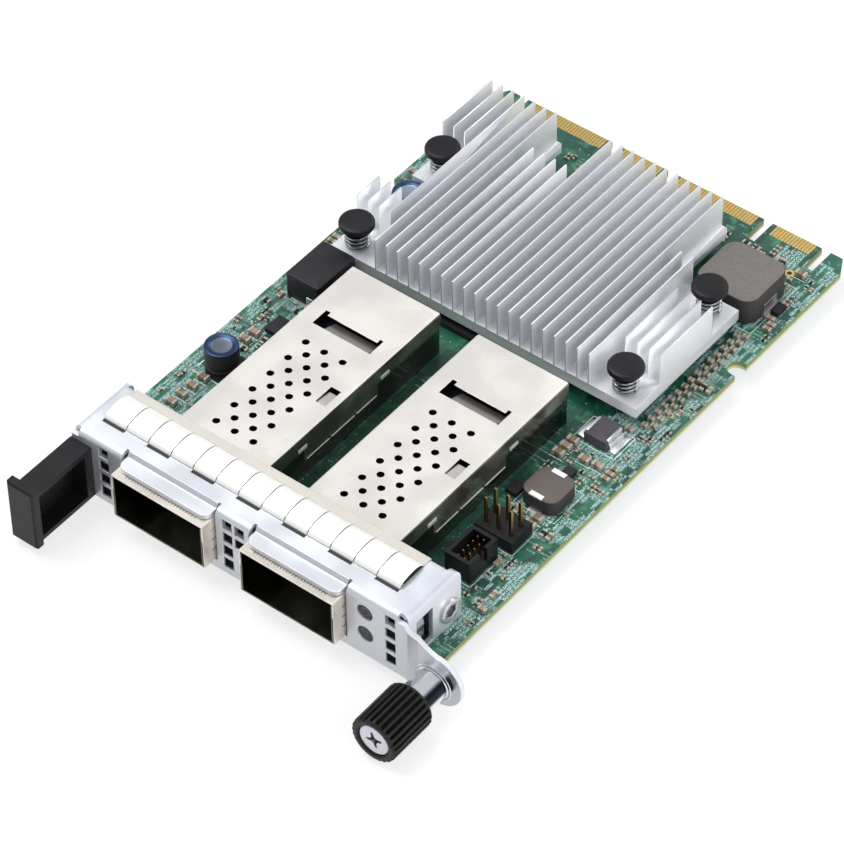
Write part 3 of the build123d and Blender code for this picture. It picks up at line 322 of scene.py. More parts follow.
def solder_mask():
    """Green mask over copper, with generic printed marks and a bare laminate edge."""
    paint = Paint("board_laminate")
    x, y, z = paint.axes()
    # areas of copper show as a lighter green than the gaps between them
    pours = paint.cell_tones(0.14, (1.0, 0.7, 1.0)).ramp(0.2, 0.8)
    green = paint.mix(pours, (0.003, 0.045, 0.030), (0.008, 0.092, 0.055))
    mottled = paint.noise(0.35, 4.0, 0.6)
    green = paint.mix(mottled.ramp(0.48, 0.72), green, (0.045, 0.20, 0.10))
    # tracks run along and across the board in broken bundles
    bundle = paint.chance(x * 0.22, y * 0.16)
    along_y = (x * 2.2).fract().within(0.25, 0.6) * bundle.within(0.35, 0.62)
    along_x = (y * 2.2).fract().within(0.25, 0.6) * bundle.within(0.72, 0.9)
    tracks = along_y + along_x
    green = paint.mix(tracks * 0.4, green, (0.045, 0.22, 0.13))
    # painted shade on the lane between the cages, where they shade the board
    lane_shade = x.within(-4.4, 2.9) * (y < behind(56))
    green = paint.mix(lane_shade * 0.75, green, (0.004, 0.040, 0.024))
    # small round vias
    via = paint.cells(0.75).ramp(0.16, 0.12)
    shown = paint.chance(x * 0.3, y * 0.3) > 0.45
    green = paint.mix(via * shown * 0.7, green, (0.20, 0.45, 0.32))
    # printed marks: rows of broken specks with gaps between the words
    lines = (x / MARK_ROW).fract().within(0.06, 0.88)
    specks = paint.chance(x / MARK_SPECK, y / MARK_SPECK) > 0.42
    words = paint.chance(x / MARK_ROW, y / MARK_WORD) > 0.25
    busy = paint.noise(0.11, 2.0, 0.5).ramp(0.40, 0.48)
    side = (x.size() > 26.5) * (y < behind(112)) * (y > behind(4))
    marks = lines * specks * words * busy * side
    # finer specks elsewhere, in rows across
    lines = (y / FINE_ROW).fract().within(0.2, 0.7)
    specks = paint.chance(x / FINE_SPECK, y / FINE_SPECK) > 0.5
    words = paint.chance(x / FINE_WORD, y / FINE_ROW) > 0.55
    fine_marks = lines * specks * words * (1 - busy)
    printed = paint.mix(marks * 0.75 + fine_marks * 0.42, green, (0.44, 0.61, 0.60))
    edge, laminate = bare_edge(paint, z)
    base = paint.mix(edge, printed, laminate)
    normal = paint.bump(tracks * 0.5 + via * shown * 0.3 + marks * 0.4, 0.03, 0.7)
    rough = edge * 0.3 + 0.33
    gloss = {"coat_weight": 0.25, "coat_roughness": 0.15}
    return paint.finish(base_color=base, roughness=rough, normal=normal, **gloss)


def gold_plate():
    paint = Paint("gold")
    worn = paint.noise(2.0, 3.0, 0.6)
    base = paint.mix(worn, (0.72, 0.46, 0.12), (0.92, 0.66, 0.26))
    normal = paint.bump(worn, 0.01, 0.4, paint.soft_edges(0.03))
    return paint.finish(base_color=base, metallic=1.0, roughness=worn * 0.15 + 0.22, normal=normal)


def cream_strip():
    """Spring sheet so brightly plated that it looks cream white."""
    paint = Paint("finger_strip")
    broad = paint.noise(0.3, 2.0, 0.5)
    base = paint.mix(broad, (0.88, 0.865, 0.82), (0.95, 0.94, 0.90))
    # painted shade: the flat band behind the arches is drawn darker than the arches
    painted_dark_band = paint.axes()[1].ramp(behind(5.9), behind(6.5))
    base = paint.mix(painted_dark_band, base, (0.60, 0.57, 0.51))
    fine = paint.noise(5.0, 3.0, 0.6)
    normal = paint.bump(fine, 0.006, 0.4, paint.soft_edges(0.06))
    return paint.finish(base_color=base, metallic=0.55, roughness=broad * 0.1 + 0.36, normal=normal)


def blasted_aluminium():
    """Extruded aluminium with a fine blasted grain."""
    paint = Paint("sink_aluminium")
    sparkle = paint.noise(5.5, 5.0, 0.75)
    broad = paint.noise(0.06, 2.0, 0.5)
    low = paint.mix(sparkle.ramp(0.35, 0.65), (0.62, 0.63, 0.65), (0.82, 0.825, 0.845))
    base = paint.mix(broad * 0.4, low, (0.84, 0.845, 0.865))
    rough = sparkle * 0.2 + 0.34
    normal = paint.bump(sparkle, 0.02, 0.8, paint.soft_edges(0.10))
    return paint.finish(base_color=base, metallic=0.5, roughness=rough, normal=normal)


def pressed_powder(name, colour, roughness, contrast):
    """Pressed iron powder: matt, with light and dark grains."""
    paint = Paint(name)
    grains = paint.cell_tones(4.5)
    base = paint.mix(grains, dimmed(colour, 1 - contrast), dimmed(colour, 1 + contrast))
    normal = paint.bump(paint.noise(3.0, 4.0, 0.7), 0.03, 0.7, paint.soft_edges(0.2))
    return paint.finish(base_color=base, roughness=roughness, normal=normal)


def polished(name, colour, roughness):
    """Smooth metal with a faint haze drawn across it."""
    paint = Paint(name)
    haze = paint.noise(0.8, 3.0, 0.6, (1, 6, 1))
    rough = haze * 0.08 + roughness
    normal = paint.bump(haze, 0.004, 0.3, paint.soft_edges(0.08))
    return paint.finish(base_color=colour, metallic=1.0, roughness=rough, normal=normal)


# Way that the chrome's painted dark reflection band faces
DARK_SIDE = (0.882, 0.0, 0.471)


def chrome():
    """Bright plating, with a painted dark reflection band on the side that faces away from the light.
    """
    paint = Paint("bright_steel")
    haze = paint.noise(0.8, 3.0, 0.6)
    painted_dark_band = paint.facing(DARK_SIDE).ramp(0.86, 0.97)
    base = paint.mix(painted_dark_band, (0.88, 0.88, 0.90), (0.02, 0.022, 0.03))
    # painted shade on the chrome's faces that face forwards
    base = paint.front_shade(base, (0.40, 0.41, 0.46))
    normal = paint.bump(haze, 0.004, 0.3)
    return paint.finish(base_color=base, metallic=1.0, roughness=haze * 0.08 + 0.10, normal=normal)


def fired_ceramic():
    """Ceramic capacitor bodies in varied tans and browns."""
    paint = Paint("ceramic_tan")
    fine = paint.noise(4.0, 3.0, 0.6)
    base = paint.mix(paint.cell_tones(0.45), (0.13, 0.085, 0.055), (0.36, 0.26, 0.17))
    base = paint.mix(fine * 0.3, base, (0.12, 0.08, 0.06))
    return paint.finish(base_color=base, roughness=0.42, normal=paint.bump(fine, 0.01, 0.5))


def lens_plastic():
    """Light pipe plastic, which looks smoky against the dark inside."""
    paint = Paint("clear_plastic")
    cloud = paint.noise(1.5, 4.0, 0.7)
    base = paint.mix(cloud.ramp(0.35, 0.7), (0.012, 0.013, 0.016), (0.085, 0.088, 0.10))
    normal = paint.bump(cloud, 0.03, 0.6)
    return paint.finish(base_color=base, roughness=0.5, normal=normal, specular_ior_level=0.3)


def soft_pad():
    paint = Paint("pad_grey")
    fine = paint.noise(2.0, 4.0, 0.6)
    base = paint.mix(fine, (0.30, 0.33, 0.38), (0.42, 0.45, 0.50))
    return paint.finish(base_color=base, roughness=0.7, normal=paint.bump(fine, 0.03, 0.5))


FINISHES = {
    "board_laminate": solder_mask(),
    "gold": gold_plate(),
    "finger_strip": cream_strip(),
    "sink_aluminium": blasted_aluminium(),
    "bright_steel": chrome(),
    "pad_grey": soft_pad(),
    "clear_plastic": lens_plastic(),
    "ceramic_tan": fired_ceramic(),
}
COVER_LOOK = {"grain": 0.003, "metal": 0.6, "smears": 0.08, "fleck": 0.02}
# Finish, colour, roughness and what differs from the plain kind
SHEETS = (
    # the faceplate's front share is painted shade on its forward faces
    ("plate_steel", (0.755, 0.77, 0.815), 0.36, {"metal": 0.7, "edge": 0.22, "front": 0.72}),
    ("cage_steel", (0.85, 0.81, 0.755), 0.27, COVER_LOOK),
    # a darker copy of the cover's steel for its skirts and rear wall: painted shade, for the dark board
    # that the skirts reflect
    ("cage_wall", (0.36, 0.36, 0.30), 0.2, {"grain": 0.03, "metal": 0.85, "smears": 0.6}),
    ("tub_steel", (0.20, 0.20, 0.175), 0.14, {"grain": 0.03, "smears": 0.5}),
    ("collar_steel", (0.80, 0.74, 0.65), 0.3, {"grain": 0.03, "metal": 0.6, "smears": 0.15}),
    # a darker copy of the cover's steel for the cover's bent flap: painted shade
    ("flap_steel", (0.40, 0.385, 0.37), 0.3, {"grain": 0.03, "metal": 0.9}),
    # a darker copy of the cover's steel for the window tab: painted shade
    ("tab_steel", (0.66, 0.62, 0.57), 0.3, {"grain": 0.03, "metal": 0.7}),
    ("screw_steel", (0.66, 0.66, 0.68), 0.30, {}),
    ("head_steel", (0.62, 0.61, 0.67), 0.32, {"metal": 0.7}),
    ("pit_shade", (0.17, 0.17, 0.23), 0.4, {"metal": 0.7}),
    ("pad_white", (0.92, 0.91, 0.88), 0.35, {"metal": 0.3}),
    ("can_centre", (0.27, 0.32, 0.40), 0.35, {"metal": 0.5, "smears": 0.6}),
    ("cap_ends", (0.50, 0.45, 0.37), 0.4, {"metal": 0.4}),
)
MOULDINGS = (
    ("black_plastic", (0.0045, 0.0045, 0.0055), 0.45, {}),
    ("knob_black", (0.0060, 0.0058, 0.0045), 0.4, {}),
    # near black for the knob's grooves and the faceplate's vents: painted shade
    ("groove_black", (0.0015, 0.0015, 0.0015), 0.7, {"shine": 0.05}),
    # a dark sheet under the finger strip's arches and in its slots: painted shade
    ("tape_dark", (0.03, 0.03, 0.032), 0.6, {}),
    ("chip_black", (0.013, 0.0125, 0.015), 0.5, {"grain": 0.03, "edge": 0.1}),
    ("package_grey", (0.055, 0.050, 0.062), 0.5, {"grain": 0.03, "edge": 0.1}),
    ("print_white", (0.62, 0.72, 0.70), 0.5, {"grain": 0.02, "edge": 0.02}),
)
POWDERS = (
    ("coil_grey", (0.128, 0.116, 0.106), 0.55, {"contrast": 0.14}),
    ("coil_side", (0.022, 0.020, 0.020), 0.6, {"contrast": 0.10}),
    ("coil_brown", (0.090, 0.070, 0.060), 0.55, {"contrast": 0.12}),
)
BRIGHT_METALS = (
    ("pin_gold", (0.34, 0.22, 0.09), 0.25, {}),
    ("spring_steel", (0.36, 0.36, 0.38), 0.14, {}),
    ("can_blue", (0.035, 0.060, 0.125), 0.32, {}),
    ("tin", (0.74, 0.74, 0.73), 0.30, {}),
)
KINDS = {sheet_metal: SHEETS, moulded: MOULDINGS, pressed_powder: POWDERS, polished: BRIGHT_METALS}
for make, rows in KINDS.items():
    for name, colour, roughness, extra in rows:
        FINISHES[name] = make(name, colour, roughness, **extra)

for row in frame["record"]["subparts"]:
    node = frame["nodes"][row["node"]]
    kind = row["node"].split("_", 1)[-1]
    finish = {"cage_tub": "tub_steel", "cage_collar": "collar_steel"}.get(kind, row["material_slot"])
    node.data.materials.clear()
    node.data.materials.append(FINISHES[finish])


# Shapes


def block(bm, low, high, slot=0):
    """A box between two corners."""
    low, high = Vector(low), Vector(high)
    place = Matrix.Translation((low + high) / 2) @ Matrix.Diagonal((*(high - low), 1))
    made = bmesh.ops.create_cube(bm, size=1.0, matrix=place)
    for face in {f for v in made["verts"] for f in v.link_faces}:
        face.material_index = slot
    return made["verts"]


def slab(bm, xs, ys, zs, slot=0):
    """A box between two places along each axis, given in either order."""
    low, high = zip(*(sorted(ends) for ends in (xs, ys, zs)))
    block(bm, low, high, slot)


def bevel(bm, edges, width, segments):
    """Rounds the given edges."""
    bmesh.ops.bevel(
        bm,
        geom=edges,
        offset=width,
        offset_type="OFFSET",
        affect="EDGES",
        segments=segments,
        profile=0.5,
        material=-1,
        clamp_overlap=True,
    )


def crisp(bm, width, segments):
    """Rounds every edge that turns by more than 30 degrees."""
    limit = math.radians(30)
    sharp = [e for e in bm.edges if len(e.link_faces) == 2 and e.calc_face_angle() > limit]
    bevel(bm, sharp, width, segments)


def turned(outline, steps):
    """A solid of revolution about +Z through (radius, height) points."""
    bm = bmesh.new()
    verts = [bm.verts.new((r, 0, h)) for r, h in outline]
    geom = verts + [bm.edges.new(pair) for pair in zip(verts, verts[1:])]
    round_z = {"cent": (0, 0, 0), "axis": Z_AXIS, "angle": 2 * math.pi}
    bmesh.ops.spin(bm, geom=geom, steps=steps, use_merge=True, **round_z)
    bmesh.ops.remove_doubles(bm, verts=bm.verts, dist=0.001)
    bmesh.ops.recalc_face_normals(bm, faces=bm.faces)
    return bm


def coil(radius, wire, length, turns, steps=20):
    """A coil of round wire about +Z, from 0 to length along its middle line."""
    bm = bmesh.new()
    place = Matrix.Translation((radius, 0, 0)) @ Matrix.Rotation(math.pi / 2, 4, "X")
    start = bmesh.ops.create_circle(bm, cap_ends=False, segments=8, radius=wire / 2, matrix=place)
    ring = start["verts"]
    geom = ring + list({e for v in ring for e in v.link_edges})
    count = int(turns * steps)
    bmesh.ops.spin(
        bm,
        geom=geom,
        cent=(0, 0, 0),
        axis=Z_AXIS,
        angle=turns * 2 * math.pi,
        dvec=Z_AXIS * (length / count),
        steps=count,
        use_merge=False,
    )
    open_edges = [e for e in bm.edges if e.is_boundary]
    bmesh.ops.holes_fill(bm, edges=open_edges, sides=0)
    bmesh.ops.recalc_face_normals(bm, faces=bm.faces)
    return bm


def add(bm, part, place=Matrix(), slot=None):
    """Joins a finished shape to bm at a place."""
    bmesh.ops.transform(part, matrix=place, verts=part.verts)
    if slot is not None:
        for face in part.faces:
            face.material_index = slot
    mesh = bpy.data.meshes.new("part")
    part.to_mesh(mesh)
    part.free()
    bm.from_mesh(mesh)
    bpy.data.meshes.remove(mesh)


def copy_of(name):
    """The merged shape of a node of the frame, in millimetres."""
    bm = bmesh.new()
    bm.from_mesh(frame["nodes"][name].data)
    bmesh.ops.scale(bm, vec=Vector((1, 1, 1)) / MM, verts=bm.verts)
    bmesh.ops.remove_doubles(bm, verts=bm.verts, dist=0.001)
    return bm


def rounded(low, high, corner, edge, side_slot=0):
    """A block with round upright corners and eased top edges."""
    bm = bmesh.new()
    block(bm, low, high)
    bevel(bm, [e for e in bm.edges if abs(e.verts[0].co.z - e.verts[1].co.z) > 0.01], corner, 6)
    bevel(bm, [e for e in bm.edges if min(v.co.z for v in e.verts) > high[2] - 0.01], edge, 2)
    for face in bm.faces:
        face.material_index = 0 if face.normal.z > 0.6 else side_slot
    return bm


def bent_tab(bm, place, xs, ys, sheet, tilt, slot=0):
    """A thin tab that hangs from a place, tilted about X."""
    tab = bmesh.new()
    slab(tab, xs, ys, (-sheet, 0))
    add(bm, tab, Matrix.Translation(place) @ Matrix.Rotation(-tilt, 4, "X"), slot)


def lay_along_y(bm, node, start, way=1):
    """Lays a shape about +Z along Y from start, on the middle line of a node of the frame."""
    low, high = node_box(node)
    place = Matrix.Translation(((low.x + high.x) / 2, start, (low.z + high.z) / 2))
    turn = Matrix.Rotation(-way * math.pi / 2, 4, "X")
    bmesh.ops.transform(bm, matrix=place @ turn, verts=bm.verts)


def piece(name, bm, slots, body=CARD, stands_for=(), smooth=30):
    """Turns a shape in millimetres into a piece that rides on a body."""
    bmesh.ops.scale(bm, vec=Vector((MM, MM, MM)), verts=bm.verts)
    mesh = bpy.data.meshes.new(name)
    bm.to_mesh(mesh)
    bm.free()
    mesh.shade_smooth()
    mesh.set_sharp_from_angle(angle=math.radians(smooth))
    made = bpy.data.objects.new(name, mesh)
    scene.collection.objects.link(made)
    for slot in slots:
        mesh.materials.append(FINISHES[slot])
    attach(made, body)
    if stands_for:
        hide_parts(*stands_for)
    return made


# Cage covers: one perforated sheet each, folded down at both sides
# A name that ends in AT, ATS, FROM or TO is a place measured back from the board's front edge

SIDES = ("left", "right")
COVER_SHEET = 0.15
FOLD_RADIUS = 0.4
FOLD_CUTS = 4
HOLE_RADIUS = 0.68
HOLE_STEPS = 16
HOLE_PITCH_X = 3.95
HOLE_PITCH_Y = 4.62
HOLE_FIRST_AT = 12.3
HOLE_SHIFT = -0.15
SKIRT_LOW = 3.55
SKIRT_HIGH = 6.1
SKIRT_FROM = 18.5
SKIRT_TO = 37.4
SKIRT_BREAKS = (24.9, 31.5)
BREAK_HALF = 0.15
BREAK_DEPTH = 0.9
SIDE_RELIEF = 0.12
LIP_SHORTER = 0.3
LATCH_ATS = (17.8, 39.4)
LATCH_HALF = 1.1
LATCH_HEIGHTS = (6.3, 7.0)
FLAP_SLOT_AT = 41.1
FLAP_SLOT_SIZE = (12.3, 2.9)
FLAP_HOOKS = (0.95, 0.7)
FLAP_HOOK_REACH = 0.9
FLAP_ENDS = (2.5, 0.3)
FLAP_LENGTH = 3.3
FLAP_TILT = 0.36
WINDOW_AT = 27.8
WINDOW_X = 6.95
WINDOW_SIZE = (2.05, 4.2)
WINDOW_TAB_HALF = 0.9
WINDOW_TAB_LENGTH = 3.5
WINDOW_TAB_INSET = 0.75
WINDOW_TAB_DROP = 0.55
WINDOW_TAB_TILT = 0.10


def loop(bm, points):
    """A closed loop of edges through flat points."""
    verts = [bm.verts.new((x, y, 0)) for x, y in points]
    return [bm.edges.new((a, b)) for a, b in zip(verts, verts[1:] + verts[:1])]


def rectangle(centre, size):
    (x, y), (w, h) = centre, size
    corners = ((-1, -1), (1, -1), (1, 1), (-1, 1))
    return [(x + a * w / 2, y + b * h / 2) for a, b in corners]


def hole_outline(x, at):
    turns = [2 * math.pi * i / HOLE_STEPS for i in range(HOLE_STEPS)]
    return [(x + HOLE_RADIUS * math.cos(t), at + HOLE_RADIUS * math.sin(t)) for t in turns]


def hooked_slot():
    """Outline of the slot, with a short slit running rearwards at each end."""
    half_x, half_y = FLAP_SLOT_SIZE[0] / 2, FLAP_SLOT_SIZE[1] / 2
    left, right = FLAP_HOOKS
    front, back = FLAP_SLOT_AT - half_y, FLAP_SLOT_AT + half_y
    tip = back + FLAP_HOOK_REACH
    rear = [(half_x, tip), (half_x - right, tip), (half_x - right, back), (left - half_x, back)]
    return [(-half_x, front), (half_x, front), *rear, (left - half_x, tip), (-half_x, tip)]


def air_holes():
    """Centres of the cover's holes, from its middle line and the board's front."""
    holes = []
    for column in range(5):
        short = column % 2
        for i in range(6 - short):
            x = (column - 2) * HOLE_PITCH_X / 2 + HOLE_SHIFT
            holes.append((x, HOLE_FIRST_AT + (i + short / 2) * HOLE_PITCH_Y))
    return holes


def cover_outline(half, front_at, back_at, top):
    """Unfolded outline, with the deep stretch of each skirt and its breaks."""
    shallow = half + top - SKIRT_HIGH
    deep = half + top - SKIRT_LOW
    side = [(shallow, front_at), (shallow, SKIRT_FROM), (deep, SKIRT_FROM)]
    for at in SKIRT_BREAKS:
        start, end = at - BREAK_HALF, at + BREAK_HALF
        inner = deep - BREAK_DEPTH
        side += [(deep, start), (inner, start), (inner, end), (deep, end)]
    side += [(deep, SKIRT_TO), (shallow, SKIRT_TO), (shallow, back_at)]
    return side + [(-x, at) for x, at in reversed(side)]


def fold_down(bm, half, top):
    """Bends everything beyond the fold lines down round the fold radius."""
    start = half - FOLD_RADIUS
    quarter = FOLD_RADIUS * math.pi / 2
    for vert in bm.verts:
        sign = 1 if vert.co.x > 0 else -1
        past = abs(vert.co.x) - start
        if past <= 0:
            vert.co.z = top
            continue
        if past < quarter:
            turn = past / FOLD_RADIUS
            vert.co.x = sign * (start + FOLD_RADIUS * math.sin(turn))
            vert.co.z = top - FOLD_RADIUS * (1 - math.cos(turn))
        else:
            vert.co.x = sign * half
            vert.co.z = top - FOLD_RADIUS - (past - quarter)


def folded_sheet(half, front_at, back_at, top):
    """The perforated sheet about x = 0, with both skirts folded down."""
    bm = bmesh.new()
    edges = loop(bm, cover_outline(half, front_at, back_at, top))
    for x, at in air_holes():
        edges += loop(bm, hole_outline(x, at))
    edges += loop(bm, hooked_slot())
    edges += loop(bm, rectangle((WINDOW_X, WINDOW_AT), WINDOW_SIZE))
    bmesh.ops.triangle_fill(bm, use_beauty=True, use_dissolve=False, edges=edges)
    for sign in (-1, 1):
        for i in range(FOLD_CUTS + 1):
            x = sign * (half - FOLD_RADIUS + FOLD_RADIUS * math.pi / 2 * i / FOLD_CUTS)
            geom = bm.verts[:] + bm.edges[:] + bm.faces[:]
            bmesh.ops.bisect_plane(bm, geom=geom, dist=0.0001, plane_co=(x, 0, 0), plane_no=X_AXIS)
    fold_down(bm, half, top)
    bmesh.ops.recalc_face_normals(bm, faces=bm.faces)
    if max(bm.faces, key=lambda f: f.calc_area()).normal.z < 0:
        bmesh.ops.reverse_faces(bm, faces=bm.faces)
    bmesh.ops.solidify(bm, geom=bm.faces[:], thickness=COVER_SHEET)
    # the folded skirts take the darker copy of the cover's steel: painted shade
    for face in bm.faces:
        if abs(face.normal.x) > 0.8:
            face.material_index = 1
    return bm


def cage_cover(side):
    low, high = node_box(f"{side}_cage_cover")
    middle = (low.x + high.x) / 2
    half = (high.x - low.x) / 2
    top = high.z
    bm = folded_sheet(half, low.y - board_front, high.y - board_front, top)
    bmesh.ops.translate(bm, vec=Vector((middle, board_front, 0)), verts=bm.verts)
    # the rear wall, in the darker copy of the cover's steel that is painted shade
    slab(bm, (low.x + 0.5, high.x - 0.5), (high.y - COVER_SHEET, high.y), (0.3, top - COVER_SHEET), 1)
    # raised latch tabs, and a thin lip along each skirt's lower edge that catches the light
    stretches = list(zip((SKIRT_FROM, *SKIRT_BREAKS), (*SKIRT_BREAKS, SKIRT_TO)))
    lip_heights = (SKIRT_LOW - 0.05, SKIRT_LOW + 0.1)
    for sign in (-1, 1):
        xs = (middle + sign * half, middle + sign * (half + SIDE_RELIEF))
        for at in LATCH_ATS:
            slab(bm, xs, (behind(at - LATCH_HALF), behind(at + LATCH_HALF)), LATCH_HEIGHTS)
        for start, end in stretches:
            slab(bm, xs, (behind(start + LIP_SHORTER), behind(end - LIP_SHORTER)), lip_heights)
    # the flap bends down from the slot's front edge, and a tab stands in the window; both take darker
    # copies of the cover's steel as painted shade
    reach = FLAP_SLOT_SIZE[0] / 2
    hinge = Vector((middle, behind(FLAP_SLOT_AT - FLAP_SLOT_SIZE[1] / 2), top - 0.02))
    ends = (FLAP_ENDS[0] - reach, reach - FLAP_ENDS[1])
    bent_tab(bm, hinge, ends, (0, FLAP_LENGTH), COVER_SHEET, FLAP_TILT, 2)
    tab_y = behind(WINDOW_AT + WINDOW_SIZE[1] / 2 - WINDOW_TAB_INSET)
    root = Vector((middle + WINDOW_X, tab_y, top - WINDOW_TAB_DROP))
    ends = (-WINDOW_TAB_HALF, WINDOW_TAB_HALF)
    bent_tab(bm, root, ends, (-WINDOW_TAB_LENGTH, 0), COVER_SHEET, WINDOW_TAB_TILT, 3)
    finishes = ["cage_steel", "cage_wall", "flap_steel", "tab_steel"]
    piece(f"{side}_cover_sheet", bm, finishes, stands_for=[f"{side}_cage_cover"])


for cage_side in SIDES:
    cage_cover(cage_side)


# Push pins and their springs

PIN_XS = (-29.6, 27.6)
PIN_ATS = (63.0, 86.9)
CAP_RADIUS = 3.2
CAP_THICKNESS = 1.3
NECK_RADIUS = 2.45
NECK_HEIGHT = 0.6
SHANK_RADIUS = 1.3
BARB_RADIUS = 1.75
SPRING_RADIUS = 2.0
SPRING_WIRE = 0.52
SPRING_TURNS = 3.6


def push_pins():
    low, high = node_box("push_pins")
    top = high.z
    cap_low = top - CAP_THICKNESS
    neck_low = cap_low - NECK_HEIGHT
    under = board_bottom - 0.05
    outline = [
        (0, top),
        (CAP_RADIUS - 0.75, top),
        (CAP_RADIUS - 0.45, top - 0.05),
        (CAP_RADIUS - 0.14, top - 0.2),
        (CAP_RADIUS, top - 0.5),
        (CAP_RADIUS, cap_low + 0.25),
        (CAP_RADIUS - 0.25, cap_low),
        (NECK_RADIUS + 0.1, cap_low),
        (NECK_RADIUS, cap_low - 0.1),
        (NECK_RADIUS, neck_low + 0.12),
        (NECK_RADIUS - 0.12, neck_low),
        (SHANK_RADIUS, neck_low),
        (SHANK_RADIUS, under),
        (BARB_RADIUS, under - 0.02),
        (BARB_RADIUS - 0.05, under - 0.25),
        (0.78, low.z),
        (0, low.z),
    ]
    pins = bmesh.new()
    springs = bmesh.new()
    base_top = node_box("pin_springs")[0].z
    spring_length = neck_low - base_top - SPRING_WIRE
    for x in PIN_XS:
        for at in PIN_ATS:
            add(pins, turned(outline, 40), Matrix.Translation((x, behind(at), 0)))
            place = Matrix.Translation((x, behind(at), base_top + SPRING_WIRE / 2))
            add(springs, coil(SPRING_RADIUS, SPRING_WIRE, spring_length, SPRING_TURNS), place)
    piece("push_pin_bodies", pins, ["black_plastic"], stands_for=["push_pins"])
    piece("push_pin_coils", springs, ["spring_steel"], stands_for=["pin_springs"])


push_pins()


# Thumbscrew knob: ribbed sleeve with a bevelled rim

KNOB_RIBS = 24
KNOB_RIB_DEPTH = 0.42
KNOB_FACE_RADIUS = 3.02
KNOB_FACE_DEPTH = 1.9
KNOB_BORE_RADIUS = 3.12
KNOB_BORE_DEPTH = 6.0


def thumbscrew_knob():
    low, high = node_box("thumbscrew_knob")
    radius = (high.x - low.x) / 2
    length = high.y - low.y
    bm = turned([
        (KNOB_FACE_RADIUS, KNOB_FACE_DEPTH),
        (KNOB_FACE_RADIUS, 0.25),
        (KNOB_FACE_RADIUS + 0.25, 0.0),
        (radius - 0.45, 0.0),
        (radius - 0.12, 0.18),
        (radius, 0.5),
        (radius, 1.6),
        (radius, length - 1.0),
        (radius, length - 0.4),
        (radius - 0.35, length),
        (KNOB_BORE_RADIUS, length),
        (KNOB_BORE_RADIUS, length - KNOB_BORE_DEPTH),
    ], KNOB_RIBS * 8)
    for vert in bm.verts:
        reach = Vector((vert.co.x, vert.co.y)).length
        if reach > radius - 0.2:
            wave = math.cos(KNOB_RIBS * math.atan2(vert.co.y, vert.co.x))
            sunk = KNOB_RIB_DEPTH * max(0.0, min(1.0, 0.5 - 1.1 * wave)) ** 1.2
            vert.co.x *= (reach - sunk) / reach
            vert.co.y *= (reach - sunk) / reach
    # the sunken sides of the ribs take a deeper black: painted shade in the grooves
    for face in bm.faces:
        middle = face.calc_center_median()
        reach = Vector((middle.x, middle.y)).length
        if 0.4 < middle.z < length - 0.5 and radius - 0.6 < reach < radius - 0.2:
            face.material_index = 1
    lay_along_y(bm, "thumbscrew_knob", low.y)
    piece("knob_sleeve", bm, ["knob_black", "groove_black"], SCREW, ["thumbscrew_knob"], smooth=40)


thumbscrew_knob()


# Side screws with a six-lobe recess


PIT_STEPS = 48


def pit(bm, shape, high, low, taper=1.0):
    """A pit whose rim is a radius for each angle, and its floor; gives the rim's edges."""
    made = bmesh.ops.create_circle(bm, cap_ends=False, segments=PIT_STEPS, radius=1.0)
    for vert in made["verts"]:
        vert.co *= shape(math.atan2(vert.co.y, vert.co.x))
        vert.co.z = high
    rim = list({e for v in made["verts"] for e in v.link_edges})
    walls = bmesh.ops.extrude_edge_only(bm, edges=rim)["geom"]
    floor = [g for g in walls if isinstance(g, bmesh.types.BMVert)]
    for vert in floor:
        vert.co *= taper
        vert.co.z = low
    floor_edges = [g for g in walls if isinstance(g, bmesh.types.BMEdge)]
    bmesh.ops.contextual_create(bm, geom=[e for e in floor_edges if all(v in floor for v in e.verts)])
    for face in {f for v in floor for f in v.link_faces}:
        face.material_index = 1
    return rim


def close_face(bm, rim):
    """Closes the flat ring between a screw head's edge and the rim of its pit."""
    ring = [e for e in bm.edges if e.is_boundary and e not in rim]
    bmesh.ops.bridge_loops(bm, edges=ring + rim)
    bmesh.ops.recalc_face_normals(bm, faces=bm.faces)


def six_lobes(angle):
    return 1.12 * (1 + 0.10 * math.cos(6 * angle))


def cross(angle):
    return 0.72 + 0.95 * max(0.0, math.cos(4 * (angle - CROSS_TURN))) ** 1.1


SIDE_HEAD_RADIUS = 2.35
SIDE_HEAD_HEIGHT = 0.7
SIDE_SHAFT_RADIUS = 1.25
SIDE_SHAFT_LENGTH = 3.6


def side_screws():
    low, high = node_box("side_screws")
    head, height, shaft = SIDE_HEAD_RADIUS, SIDE_HEAD_HEIGHT, SIDE_SHAFT_RADIUS
    outline = [(1.75, height), (head - 0.35, height), (head - 0.1, height - 0.1), (head, height - 0.35)]
    outline += [(head, 0.0), (shaft, 0.0), (shaft, 0.3 - SIDE_SHAFT_LENGTH)]
    outline += [(0.9, -SIDE_SHAFT_LENGTH), (0, -SIDE_SHAFT_LENGTH)]
    bm = bmesh.new()
    for x, sign in ((low.x, -1), (high.x, 1)):
        screw = turned(outline, PIT_STEPS)
        close_face(screw, pit(screw, six_lobes, height - 0.12, height - 0.65))
        place = Matrix.Translation((x - sign * height, (low.y + high.y) / 2, (low.z + high.z) / 2))
        add(bm, screw, place @ Matrix.Rotation(sign * math.pi / 2, 4, "Y"))
    piece("side_screw_bodies", bm, ["screw_steel", "pit_shade"], stands_for=["side_screws"])


side_screws()


# Captive thumbscrew: cross recess in its head, thread on its shaft

CROSS_TURN = 0.3
HEAD_WIDER = 0.15
HEAD_THICK = 1.6
SHAFT_RADIUS = 1.5
RING_GROOVE = 0.35
RING_PLAY = 0.04
THREAD_PITCH = 0.5
THREAD_DEPTH = 0.22


